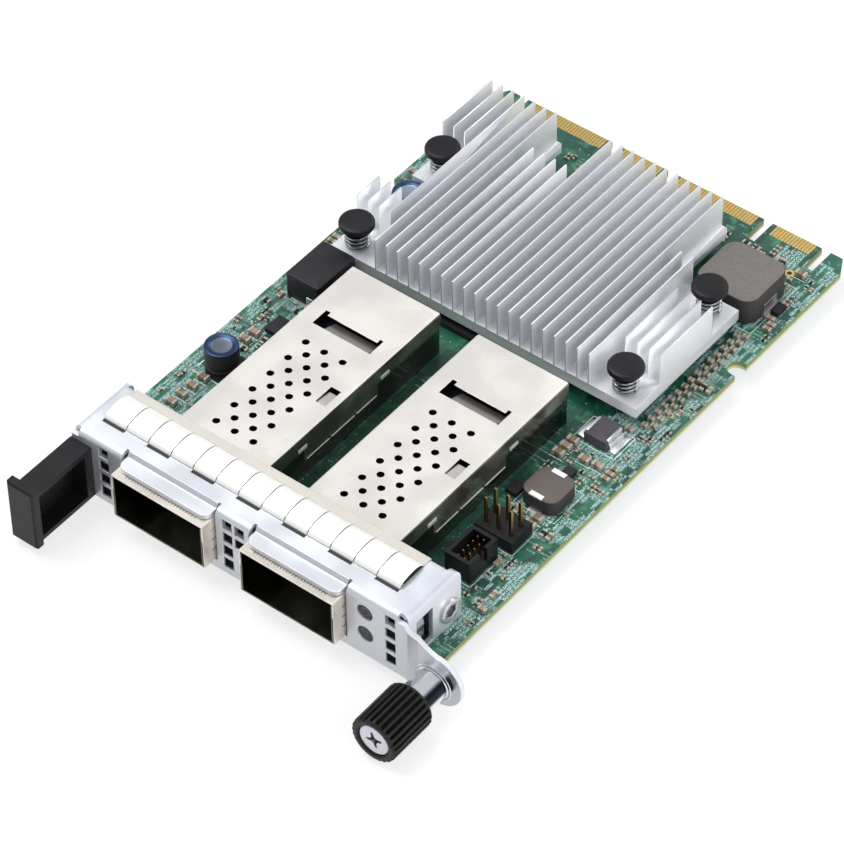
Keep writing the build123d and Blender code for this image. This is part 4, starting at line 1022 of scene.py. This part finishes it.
def captive_screw():
    """The screw, turned from its tip to its head. It is laid with the head to the front."""
    low, high = node_box("thumbscrew")
    ring_low, ring_high = node_box("retaining_ring")
    radius = SHAFT_RADIUS
    head = (high.x - low.x) / 2 + HEAD_WIDER
    length = high.y - low.y
    neck = length - HEAD_THICK
    groove_start = high.y - ring_high.y - RING_PLAY
    groove_end = high.y - ring_low.y + RING_PLAY
    outline = [(0, 0), (radius - 0.3, 0)]
    # ridges from the tip to the groove of the ring
    depth = 0.3
    while depth < groove_start - THREAD_PITCH:
        outline += [(radius, depth), (radius - THREAD_DEPTH, depth + THREAD_PITCH / 2)]
        depth += THREAD_PITCH
    outline += [(radius, groove_start), (radius - RING_GROOVE, groove_start)]
    outline += [(radius - RING_GROOVE, groove_end), (radius, groove_end)]
    outline += [(radius, neck), (head, neck), (head, length - 0.25)]
    outline += [(head - 0.25, length), (2.15, length)]
    screw = turned(outline, PIT_STEPS)
    close_face(screw, pit(screw, cross, length - 0.02, length - 1.1, 0.45))
    lay_along_y(screw, "thumbscrew", high.y, -1)
    piece("captive_screw", screw, ["head_steel", "pit_shade"], SCREW, ["thumbscrew"])


captive_screw()


# Plated sleeve of the thumbscrew

SLEEVE_FLANGE = 0.8
SLEEVE_THROUGH = 1.4
SLEEVE_RADIUS = 3.0
SLEEVE_BORE = 2.4
SLEEVE_FLOOR = 0.8
SLEEVE_SHANK = 2.2
SLEEVE_HOLE = 1.56


def plated_sleeve():
    low, high = node_box("thumbscrew_ferrule")
    length = high.y - low.y
    outer, bore, flange = SLEEVE_RADIUS, SLEEVE_BORE, (high.x - low.x) / 2
    seat = length - SLEEVE_THROUGH
    front = seat - SLEEVE_FLANGE
    floor = length - SLEEVE_FLOOR
    outline = [(bore, 0), (outer - 0.12, 0), (outer, 0.12), (outer, front - 0.15)]
    outline += [(outer + 0.15, front), (flange - 0.1, front), (flange, front + 0.1), (flange, seat)]
    outline += [(SLEEVE_SHANK, seat), (SLEEVE_SHANK, length), (SLEEVE_HOLE, length)]
    outline += [(SLEEVE_HOLE, floor), (bore, floor), (bore, 0)]
    bm = turned(outline, 72)
    lay_along_y(bm, "thumbscrew_ferrule", low.y)
    piece("plated_sleeve", bm, ["bright_steel"], stands_for=["thumbscrew_ferrule"])


plated_sleeve()


# Spring of the thumbscrew, which is pressed flat as the screw goes in

SCREW_SPRING_WIRE = 0.36
SCREW_SPRING_TURNS = 6


def screw_spring():
    low, high = node_box("thumbscrew_spring")
    wire = SCREW_SPRING_WIRE
    bm = coil((high.x - low.x - wire) / 2, wire, high.y - low.y - wire, SCREW_SPRING_TURNS)
    lay_along_y(bm, "thumbscrew_spring", low.y + wire / 2)
    made = piece("screw_spring", bm, ["spring_steel"], stands_for=["thumbscrew_spring"])
    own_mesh(made)


screw_spring()


# Heat sink with its fins drawn thin, and its edge flush with the last long fin

FIN_THINNER = 0.14
SINK_CUT = 15.5


def thin_fins():
    low, high = node_box("heat_sink")
    bm = copy_of("heat_sink")
    tips = sorted({round(v.co.x, 2) for v in bm.verts if v.co.z > high.z - 0.01})
    inward = {}
    for left, right in zip(tips[::2], tips[1::2]):
        inward[left] = FIN_THINNER
        inward[right] = -FIN_THINNER
    cut = high.x - SINK_CUT
    last_fin = max(x for x in tips if x < cut + 0.01)
    moves = {}
    for vert in bm.verts:
        if vert.co.z < high.z - 0.01:
            continue
        x = round(vert.co.x, 2)
        for edge in vert.link_edges:
            foot = edge.other_vert(vert)
            upright = (foot.co.xy - vert.co.xy).length < 0.01
            if upright and foot.co.z > low.z + 0.5 and x in inward:
                moves[vert] = inward[x]
                moves[foot] = inward[x]
    for vert in bm.verts:
        if abs(vert.co.x - cut) < 0.02 and vert.co.z < high.z - 1:
            vert.co.x = last_fin - FIN_THINNER
    for vert, step in moves.items():
        vert.co.x += step
    bmesh.ops.dissolve_degenerate(bm, edges=bm.edges, dist=0.001)
    piece("finned_sink", bm, ["sink_aluminium"], stands_for=["heat_sink"])


thin_fins()


# Header pins with tapered tips


def tapered_pins(name, node, count_x, count_y, pitch, side):
    low, high = node_box(node)
    centre = (low + high) / 2
    bm = bmesh.new()
    for i in range(count_x):
        for j in range(count_y):
            x = centre.x + (i - (count_x - 1) / 2) * pitch
            y = centre.y + (j - (count_y - 1) / 2) * pitch
            verts = block(bm, (x - side / 2, y - side / 2, low.z), (x + side / 2, y + side / 2, high.z))
            top = [v for v in verts if v.co.z > high.z - 0.01]
            face = next(f for f in top[0].link_faces if all(v in top for v in f.verts))
            bmesh.ops.inset_individual(bm, faces=[face], thickness=side * 0.28, depth=0.0)
            for vert in top:
                vert.co.z = high.z - side * 0.6
    piece(name, bm, ["pin_gold"], stands_for=[node])


tapered_pins("tall_header_pins", "header_pins", 3, 2, 2.54, 0.54)
tapered_pins("box_header_fine_pins", "box_header_pins", 2, 5, 1.27, 0.36)


# Ceramic capacitors and other small blocks with tinned ends


CHIP_CAP_SHARE = 0.24
CHIP_CAP_GROWTH = 0.03
CHIP_LIFT = 0.02


def chip_part(bm, x, y, length, width, height, along_x):
    """A small block with a tinned cap at each end. Slot 0 is its body, slot 1 the caps."""
    end = length / 2
    inner = end - length * CHIP_CAP_SHARE
    foot = board_top + CHIP_LIFT
    for low, high, slot in ((-inner, inner, 0), (-end, -inner, 1), (inner, end, 1)):
        growth = CHIP_CAP_GROWTH * slot
        half = width / 2 + growth
        zs = (foot, foot + height + growth)
        if along_x:
            slab(bm, (x + low, x + high), (y - half, y + half), zs, slot)
        else:
            slab(bm, (x - half, x + half), (y + low, y + high), zs, slot)


# Middle of each larger block: x and its place behind the board's front edge
LARGE_CERAMICS = (
    (-33.0, 17.4), (-32.8, 19.9), (-32.6, 22.4), (-32.4, 25.0), (-32.8, 36.4), (-32.5, 38.6),
    (25.4, 47.5), (25.5, 49.4), (25.6, 51.2), (29.8, 48.8), (32.4, 49.0), (31.5, 31.6), (31.6, 33.5),
    (33.0, 107.0),
)


LARGE_SIZE = (2.1, 1.25, 1.0)
ROW_SIZE = (1.05, 0.85, 0.7)
ROW_COUNT = 15
ROW_PITCH = 1.9
ROW_MIDDLE_AT = 75.0
ROW_LINES = ((32.95, -0.4), (34.3, 0.4))


def ceramic_blocks():
    """The larger blocks, and the row of small ones in two staggered lines."""
    bm = bmesh.new()
    for x, at in LARGE_CERAMICS:
        chip_part(bm, x, behind(at), *LARGE_SIZE, True)
    crisp(bm, 0.08, 1)
    piece("ceramic_blocks", bm, ["ceramic_tan", "cap_ends"], stands_for=["ceramic_capacitors"])
    bm = bmesh.new()
    for i in range(ROW_COUNT):
        at = ROW_MIDDLE_AT + (i - (ROW_COUNT - 1) / 2) * ROW_PITCH
        for x, stagger in ROW_LINES:
            chip_part(bm, x, behind(at + stagger), *ROW_SIZE, True)
    crisp(bm, 0.05, 1)
    piece("ceramic_row", bm, ["ceramic_tan", "cap_ends"], stands_for=["row_capacitors"])


ceramic_blocks()


# Inductors, cans and the power package


LARGE_CHOKE_LONGER = 1.3


def large_choke():
    low, high = node_box("large_inductor")
    low.x -= LARGE_CHOKE_LONGER
    middle = (low.y + high.y) / 2
    bm = rounded(low, high, 2.6, 0.45, 1)
    # its terminal shows at the foot of the right side
    slab(bm, (high.x - 0.4, high.x + 0.9), (middle - 2.4, middle + 2.4), (0.02, 0.5), 2)
    slab(bm, (high.x - 0.02, high.x + 0.12), (middle - 1.9, middle + 1.9), (0.4, 2.4), 2)
    piece("large_choke", bm, ["coil_grey", "coil_side", "flap_steel"], stands_for=["large_inductor"])


def small_choke():
    low, high = node_box("small_inductor")
    middle = (low.x + high.x) / 2
    bm = rounded(low, high, 2.0, 0.35, 1)
    # a pale pad on its top at the front and at the back
    for y, sign in ((low.y, 1), (high.y, -1)):
        ys = (y + sign * 0.05, y + sign * 0.95)
        slab(bm, (middle - 1.5, middle + 1.1), ys, (high.z - 0.3, high.z + 0.05), 2)
    piece("small_choke", bm, ["coil_brown", "coil_side", "pad_white"], stands_for=["small_inductor"])


def square_choke():
    low, high = node_box("square_inductor")
    bm = rounded(low, high, 0.5, 0.3)
    # a tinned lead on its right side and one on its front
    slab(bm, (high.x - 0.02, high.x + 0.1), (low.y + 0.6, low.y + 2.6), (0.3, 2.2), 1)
    slab(bm, (high.x - 2.6, high.x - 0.6), (low.y - 0.1, low.y + 0.02), (0.3, 2.2), 1)
    piece("square_choke", bm, ["chip_black", "tin"], stands_for=["square_inductor"])


CAN_RADIUS = 3.05
CAN_BEAD = 0.22
CAN_CENTRE_RADIUS = 1.9


def round_cans():
    """Beaded cans with a ringed top; both stand where the frame's cans stand."""
    low, high = node_box("can_capacitors")
    radius, waist, top = CAN_RADIUS, CAN_RADIUS - CAN_BEAD, high.z
    foot = node_box("capacitor_bases")[1].z - 0.05
    outline = [(0, top - 0.28), (1.5, top - 0.28), (1.85, top - 0.2), (2.1, top - 0.1)]
    outline += [(2.25, top - 0.02), (radius - 0.3, top), (radius - 0.08, top - 0.12)]
    outline += [(radius, top - 0.35), (radius, foot + 1.3), (waist, foot + 1.05), (waist, foot + 0.8)]
    outline += [(radius, foot + 0.55), (radius, foot), (0, foot)]
    bm = bmesh.new()
    for x, y in ((low.x + radius, low.y + radius), (high.x - radius, high.y - radius)):
        can = turned(outline, 40)
        for face in can.faces:
            middle = face.calc_center_median()
            if middle.z > top - 0.3 and middle.xy.length < CAN_CENTRE_RADIUS:
                face.material_index = 1
            elif middle.z < top - 0.8:
                face.material_index = 2
        add(bm, can, Matrix.Translation((x, y, 0)))
    piece("round_cans", bm, ["can_blue", "can_centre", "coil_side"], stands_for=["can_capacitors"])


LEAD_MARGIN = 0.35
LEAD_SHOULDER = 0.3
LEAD_FOOT_TOP = 0.42
LEAD_KNEE = 1.3


def power_switch():
    low, high = node_box("power_package")
    lead_low, lead_high = node_box("power_leads")
    bm = rounded(low, high, 0.25, 0.25)
    piece("power_body", bm, ["package_grey"], stands_for=["power_package"])
    bm = bmesh.new()
    feet = (low.y + LEAD_MARGIN, high.y - LEAD_MARGIN)
    shoulders = (feet[0] + LEAD_SHOULDER, feet[1] - LEAD_SHOULDER)
    for x, end, sign in ((low.x, lead_low.x, -1), (high.x, lead_high.x, 1)):
        inner = x - sign * 0.02
        slab(bm, (inner, end), feet, (0.02, LEAD_FOOT_TOP))
        slab(bm, (inner, x + sign * 0.45), shoulders, (LEAD_FOOT_TOP, LEAD_KNEE))
        # each lead is folded over the body's top edge
        slab(bm, (x + sign * 0.06, x - sign * 0.5), shoulders, (LEAD_KNEE, high.z + 0.04))
    crisp(bm, 0.12, 2)
    piece("power_tabs", bm, ["tin"], stands_for=["power_leads"])


large_choke()
small_choke()
square_choke()
round_cans()
power_switch()


# Fine parts that the frame leaves to the scene


def trees():
    """Search trees of the frame's nodes, to find clear places on the board."""
    made = []
    for row in frame["record"]["subparts"]:
        shape = copy_of(row["node"])
        made.append(BVHTree.FromBMesh(shape))
        shape.free()
    return made


def clear_spot(found, x, y, reach_x, reach_y):
    """Whether only the bare board lies under a small rectangle, looked at from far above."""
    for a in (-1, 0, 1):
        for b in (-1, 0, 1):
            start = Vector((x + a * reach_x, y + b * reach_y, 40.0))
            hits = [tree.ray_cast(start, -Z_AXIS)[0] for tree in found]
            heights = [hit.z for hit in hits if hit is not None]
            if not heights or abs(max(heights) - board_top) > 0.02:
                return False
    return True


# Left, right, nearest and furthest place behind the front edge, and how many tries
PASSIVE_FIELDS = (
    (-37.0, -26.2, 9.0, 58.0, 90),
    (25.2, 37.0, 9.0, 59.0, 120),
    (24.5, 37.0, 59.0, 105.0, 90),
    (-37.0, 36.0, 104.8, 108.6, 60),
    (-37.2, -33.4, 58.0, 104.0, 30),
)
PASSIVE_SEED = 11
PASSIVE_GRID = 0.5
PASSIVE_SIZES = ((1.0, 0.5), (1.0, 0.5), (1.5, 0.8))
PASSIVE_HEIGHTS = {0.5: 0.35, 0.8: 0.6}
PASSIVE_ROWS = (1, 1, 2, 3)
ROW_GAP = 0.5
LEAST_GAP = 0.2
BARE_MARGIN = 0.35


def small_passives():
    """Tiny resistors and capacitors in short rows, wherever the board is bare."""
    random.seed(PASSIVE_SEED)
    found = trees()
    bm = bmesh.new()
    taken = []
    for left, right, near, far, count in PASSIVE_FIELDS:
        for _ in range(count):
            along_x = random.random() < 0.5
            length, width = random.choice(PASSIVE_SIZES)
            x = round(random.uniform(left, right) / PASSIVE_GRID) * PASSIVE_GRID
            y = behind(round(random.uniform(near, far) / PASSIVE_GRID) * PASSIVE_GRID)
            half_x, half_y = (length / 2, width / 2) if along_x else (width / 2, length / 2)
            for step in range(random.choice(PASSIVE_ROWS)):
                along = step * (width + ROW_GAP)
                place_x, place_y = (x, y + along) if along_x else (x + along, y)
                apart = all(
                    abs(place_x - x0) > half_x + w0 + LEAST_GAP
                    or abs(place_y - y0) > half_y + h0 + LEAST_GAP
                    for x0, y0, w0, h0 in taken
                )
                reach = (half_x + BARE_MARGIN, half_y + BARE_MARGIN)
                if apart and clear_spot(found, place_x, place_y, *reach):
                    taken.append((place_x, place_y, half_x, half_y))
                    chip_part(bm, place_x, place_y, length, width, PASSIVE_HEIGHTS[width], along_x)
    # some bodies are black
    for face in bm.faces:
        if face.material_index == 0 and face.calc_center_median().x * 7.3 % 1 < 0.4:
            face.material_index = 2
    piece("small_passives", bm, ["ceramic_tan", "cap_ends", "chip_black"])


def frame_lines(bm, low, high, room, line=0.1, gaps=0.0):
    """A printed rectangle round a part, whose sides may stop short of its corners."""
    x0, y0, x1, y1 = low[0] - room, low[1] - room, high[0] + room, high[1] + room
    zs = (board_top, board_top + 0.015)
    for y, inwards in ((y0, line), (y1, -line)):
        slab(bm, (x0, x1), (y, y + inwards), zs)
    for x, inwards in ((x0, line), (x1, -line)):
        slab(bm, (x, x + inwards), (y0 + gaps, y1 - gaps), zs)


# Parts with a printed outline, and the room between the part and its outline
OUTLINED = {
    "large_inductor": 0.9,
    "small_inductor": 0.6,
    "square_inductor": 0.5,
    "pin_header": 0.4,
    "box_header": 0.5,
}


def printed_outlines():
    bm = bmesh.new()
    low, high = node_box("power_package")
    lead_low, lead_high = node_box("power_leads")
    frame_lines(bm, (lead_low.x - 0.4, low.y - 0.5), (lead_high.x + 0.4, high.y + 0.5), 0.0)
    for name, room in OUTLINED.items():
        frame_lines(bm, *node_box(name), room)
    # the outlines of the front can and of the ceramic blocks have open corners
    can = node_box("capacitor_bases")[0]
    frame_lines(bm, (can.x, can.y), (can.x + 6.6, can.y + 6.6), 0.4, 0.2, 1.5)
    for x, at in LARGE_CERAMICS:
        y = behind(at)
        frame_lines(bm, (x - 1.2, y - 0.8), (x + 1.2, y + 0.8), 0.16, 0.1, 0.5)
    piece("printed_outlines", bm, ["print_white"])


PAD_WIDER = 1.22


def full_contacts(bm):
    """Widens each gold pad and runs it out to the edge."""
    left = set(bm.verts)
    while left:
        pad = {left.pop()}
        fresh = set(pad)
        while fresh:
            fresh = {e.other_vert(v) for v in fresh for e in v.link_edges} - pad
            pad |= fresh
        left -= pad
        xs = [v.co.x for v in pad]
        middle = (min(xs) + max(xs)) / 2
        end = max(v.co.y for v in pad)
        for vert in pad:
            vert.co.x = middle + (vert.co.x - middle) * PAD_WIDER
            if vert.co.y > end - 0.01:
                vert.co.y = -0.02


def gold_contacts():
    """The gold contacts of the edge, and the same ones on its solder side."""
    bm = copy_of("edge_contacts")
    full_contacts(bm)
    piece("upper_contacts", bm, ["gold"], stands_for=["edge_contacts"])
    bm = copy_of("edge_contacts")
    full_contacts(bm)
    for vert in bm.verts:
        vert.co.z = board_top + board_bottom - vert.co.z
    bmesh.ops.recalc_face_normals(bm, faces=bm.faces)
    piece("underside_contacts", bm, ["gold"])


# X, place behind the front edge, and radius
PLATED_HOLES = (
    (31.0, 106.4, 0.9),
    (-35.0, 62.0, 0.6),
    (34.8, 66.0, 0.6),
    (-27.0, 12.0, 0.5),
    (24.6, 14.0, 0.5),
)
PLATING = 0.035


def plated_holes():
    """Gold rings round drilled holes."""
    bm = bmesh.new()
    for x, at, radius in PLATED_HOLES:
        inner = radius * 0.5
        section = [(inner, 0.0), (inner, PLATING), (radius, PLATING), (radius, 0.0), (inner, 0.0)]
        add(bm, turned(section, 20), Matrix.Translation((x, behind(at), board_top)), 0)
        # a dark disc inside each ring: painted shade for the inside of the hole
        dark = bmesh.ops.create_circle(bm, cap_ends=True, segments=20, radius=radius * 0.52)
        bmesh.ops.translate(bm, vec=Vector((x, behind(at), board_top + 0.006)), verts=dark["verts"])
        for face in {f for v in dark["verts"] for f in v.link_faces}:
            face.material_index = 1
    piece("plated_holes", bm, ["gold", "chip_black"])


MOUTH_TAB_PITCH = 5.2
MOUTH_TAB_SIZE = (2.2, 2.2)
MOUTH_TAB_SHEET = 0.12
MOUTH_TAB_TILT = 0.16


def mouth_springs():
    """Small spring tabs under the roof of each module bay, just inside its mouth."""
    bm = bmesh.new()
    width, length = MOUTH_TAB_SIZE
    for side in SIDES:
        low, high = node_box(f"{side}_cage_tub")
        for i in (-1, 0, 1):
            x = (low.x + high.x) / 2 + i * MOUTH_TAB_PITCH
            root = Vector((x, low.y + 1.6, high.z - 0.35))
            bent_tab(bm, root, (-width / 2, width / 2), (0, length), MOUTH_TAB_SHEET, MOUTH_TAB_TILT)
    piece("mouth_springs", bm, ["cage_steel"])


FINGER_COUNT = 13
# where the dark sheet of painted shade lies under the arches, and in the slots
SHADE_SHEET_AT = (1.4, 6.1)
SHADE_SLOT_AT = (-0.5, 0.15)
PLATE_FRONT_AT = -4.65
PLATE_SHEET = 0.9
VENT_SIZE = (2.0, 2.2)
VENT_DEPTH = 0.35
VENT_BACKS = ((-27.9, 3.0), (-1.0, 5.6), (30.6, 3.2))
VENT_BACK_HEIGHTS = (-1.2, 9.9)
TICK_COUNT = 25
TICK_PITCH = 0.6
TICK_WIDTH = 0.26


def vent_shade_sheets():
    """Thin black sheets inside each square hole of the faceplate and behind each column: painted shade
    for the dark inside of the card.
    """
    width, height = VENT_SIZE
    plate = copy_of("faceplate")
    posts = []
    for edge in plate.edges:
        near, far = sorted((v.co.copy() for v in edge.verts), key=lambda co: co.z)
        upright = (far.xy - near.xy).length < 0.01 and abs(far.z - near.z - height) < 0.02
        if upright and abs(near.y - behind(PLATE_FRONT_AT)) < 0.1:
            posts.append(near)
    plate.free()
    bm = bmesh.new()
    for left in posts:
        for right in posts:
            if abs(right.x - left.x - width) < 0.02 and abs(right.z - left.z) < 0.02:
                ys = (left.y + VENT_DEPTH, left.y + PLATE_SHEET)
                zs = (left.z + 0.01, left.z + height - 0.01)
                slab(bm, (left.x + 0.01, right.x - 0.01), ys, zs)
    back = behind(PLATE_FRONT_AT) + PLATE_SHEET
    for x, width in VENT_BACKS:
        slab(bm, (x - width / 2, x + width / 2), (back + 0.03, back + 0.15), VENT_BACK_HEIGHTS)
    piece("vent_shade_sheets", bm, ["groove_black"])


def comb_ticks():
    """Fine spring tips between each tongue and its cage collar."""
    bm = bmesh.new()
    tongue_y = node_box("faceplate")[0].y
    for side in SIDES:
        low, high = node_box(f"{side}_cage_collar")
        ys = (tongue_y - 0.42, tongue_y - 0.02)
        zs = (high.z - 0.02, high.z + 0.04)
        for i in range(TICK_COUNT):
            x = (low.x + high.x) / 2 + (i - (TICK_COUNT - 1) / 2) * TICK_PITCH
            slab(bm, (x - TICK_WIDTH / 2, x + TICK_WIDTH / 2), ys, zs)
    piece("comb_ticks", bm, ["flap_steel"])


def finger_shade_sheet():
    """A dark sheet between the flange and the arches of the finger strip: painted shade under the
    arches.
    """
    low, high = node_box("emi_finger_strip")
    flange_top = node_box("faceplate")[1].z
    bm = bmesh.new()
    ys = [behind(at) for at in SHADE_SHEET_AT]
    slab(bm, (low.x + 0.1, high.x - 0.1), ys, (flange_top + 0.005, flange_top + 0.05))
    # painted shade also fills the slots where every second finger is tucked in
    width = (high.x - low.x) / FINGER_COUNT
    reach = width / 2 - 0.12
    ys = [behind(at) for at in SHADE_SLOT_AT]
    for i in range(0, FINGER_COUNT, 2):
        x = low.x + (i + 0.5) * width
        slab(bm, (x - reach, x + reach), ys, (flange_top - 0.7, flange_top - 0.08))
    piece("finger_shade_sheet", bm, ["tape_dark"])


vent_shade_sheets()
comb_ticks()
finger_shade_sheet()
small_passives()
printed_outlines()
gold_contacts()
plated_holes()
mouth_springs()

# Floor, light and camera


def lamp(name, place, target, size, power):
    data = bpy.data.lights.new(name, "AREA")
    data.shape = "RECTANGLE"
    data.size, data.size_y = size
    data.energy = power
    made = bpy.data.objects.new(name, data)
    scene.collection.objects.link(made)
    made.location = place
    aim = Vector(target) - Vector(place)
    made.rotation_euler = aim.to_track_quat("-Z", "Y").to_euler()


def pale_floor():
    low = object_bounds()[0][2]
    bm = bmesh.new()
    bmesh.ops.create_grid(bm, x_segments=1, y_segments=1, size=3.0)
    bmesh.ops.translate(bm, vec=Vector((0, 0, low)), verts=bm.verts)
    mesh = bpy.data.meshes.new("floor")
    bm.to_mesh(mesh)
    bm.free()
    made = bpy.data.objects.new("floor", mesh)
    scene.collection.objects.link(made)
    paint = Paint("floor")
    diffuse = paint.node("ShaderNodeBsdfDiffuse", None, {"Color": (0.92, 0.92, 0.92)})
    glow = paint.node("ShaderNodeEmission", None, {"Color": (1.0, 1.0, 1.0), "Strength": 1.0})
    seen = paint.node("ShaderNodeLightPath", None, None, "Is Camera Ray")
    gloss = paint.node("ShaderNodeLightPath", None, None, "Is Glossy Ray")
    share = (seen + gloss).calc("MINIMUM", 1.0) * 0.7
    paint.surface(paint.node("ShaderNodeMixShader", None, {0: share, 1: diffuse, 2: glow}))
    mesh.materials.append(paint.material)


def white_world():
    world = bpy.data.worlds.new("studio")
    scene.world = world
    world.use_nodes = True
    back = world.node_tree.nodes["Background"]
    back.inputs["Color"].default_value = (0.92, 0.95, 1.0, 1.0)
    back.inputs["Strength"].default_value = 0.62


def camera():
    """The photograph's view: fitted angle, distance, lens and framing."""
    azimuth = math.radians(38.01)
    elevation = math.radians(44.94)
    roll = math.radians(0.302)
    distance = 706.63
    target = Vector((0, -60.1, 0))
    outward = Vector((
        math.sin(azimuth) * math.cos(elevation),
        -math.cos(azimuth) * math.cos(elevation),
        math.sin(elevation),
    ))
    data = bpy.data.cameras.new("camera")
    data.lens = 178.45
    data.sensor_width = 36.0
    data.shift_x = -0.0503
    data.shift_y = -0.0700
    data.clip_start = 0.01
    data.clip_end = 20.0
    made = bpy.data.objects.new("camera", data)
    scene.collection.objects.link(made)
    facing = (-outward).to_track_quat("-Z", "Y").to_matrix().to_4x4()
    spin = Matrix.Rotation(-roll, 4, "Z")
    made.matrix_world = Matrix.Translation((target + outward * distance) * MM) @ facing @ spin
    scene.camera = made


pale_floor()
white_world()
card_middle = (0.0, -0.06, 0.0)
lamp("key", (-0.45, -0.15, 1.0), card_middle, (0.7, 0.7), 8.5)
lamp("fill", (0.95, -0.22, 0.55), card_middle, (0.8, 0.8), 7.0)
lamp("back", (0.1, 0.9, 0.8), card_middle, (0.9, 0.5), 3.0)
camera()
scene.view_settings.view_transform = "Standard"
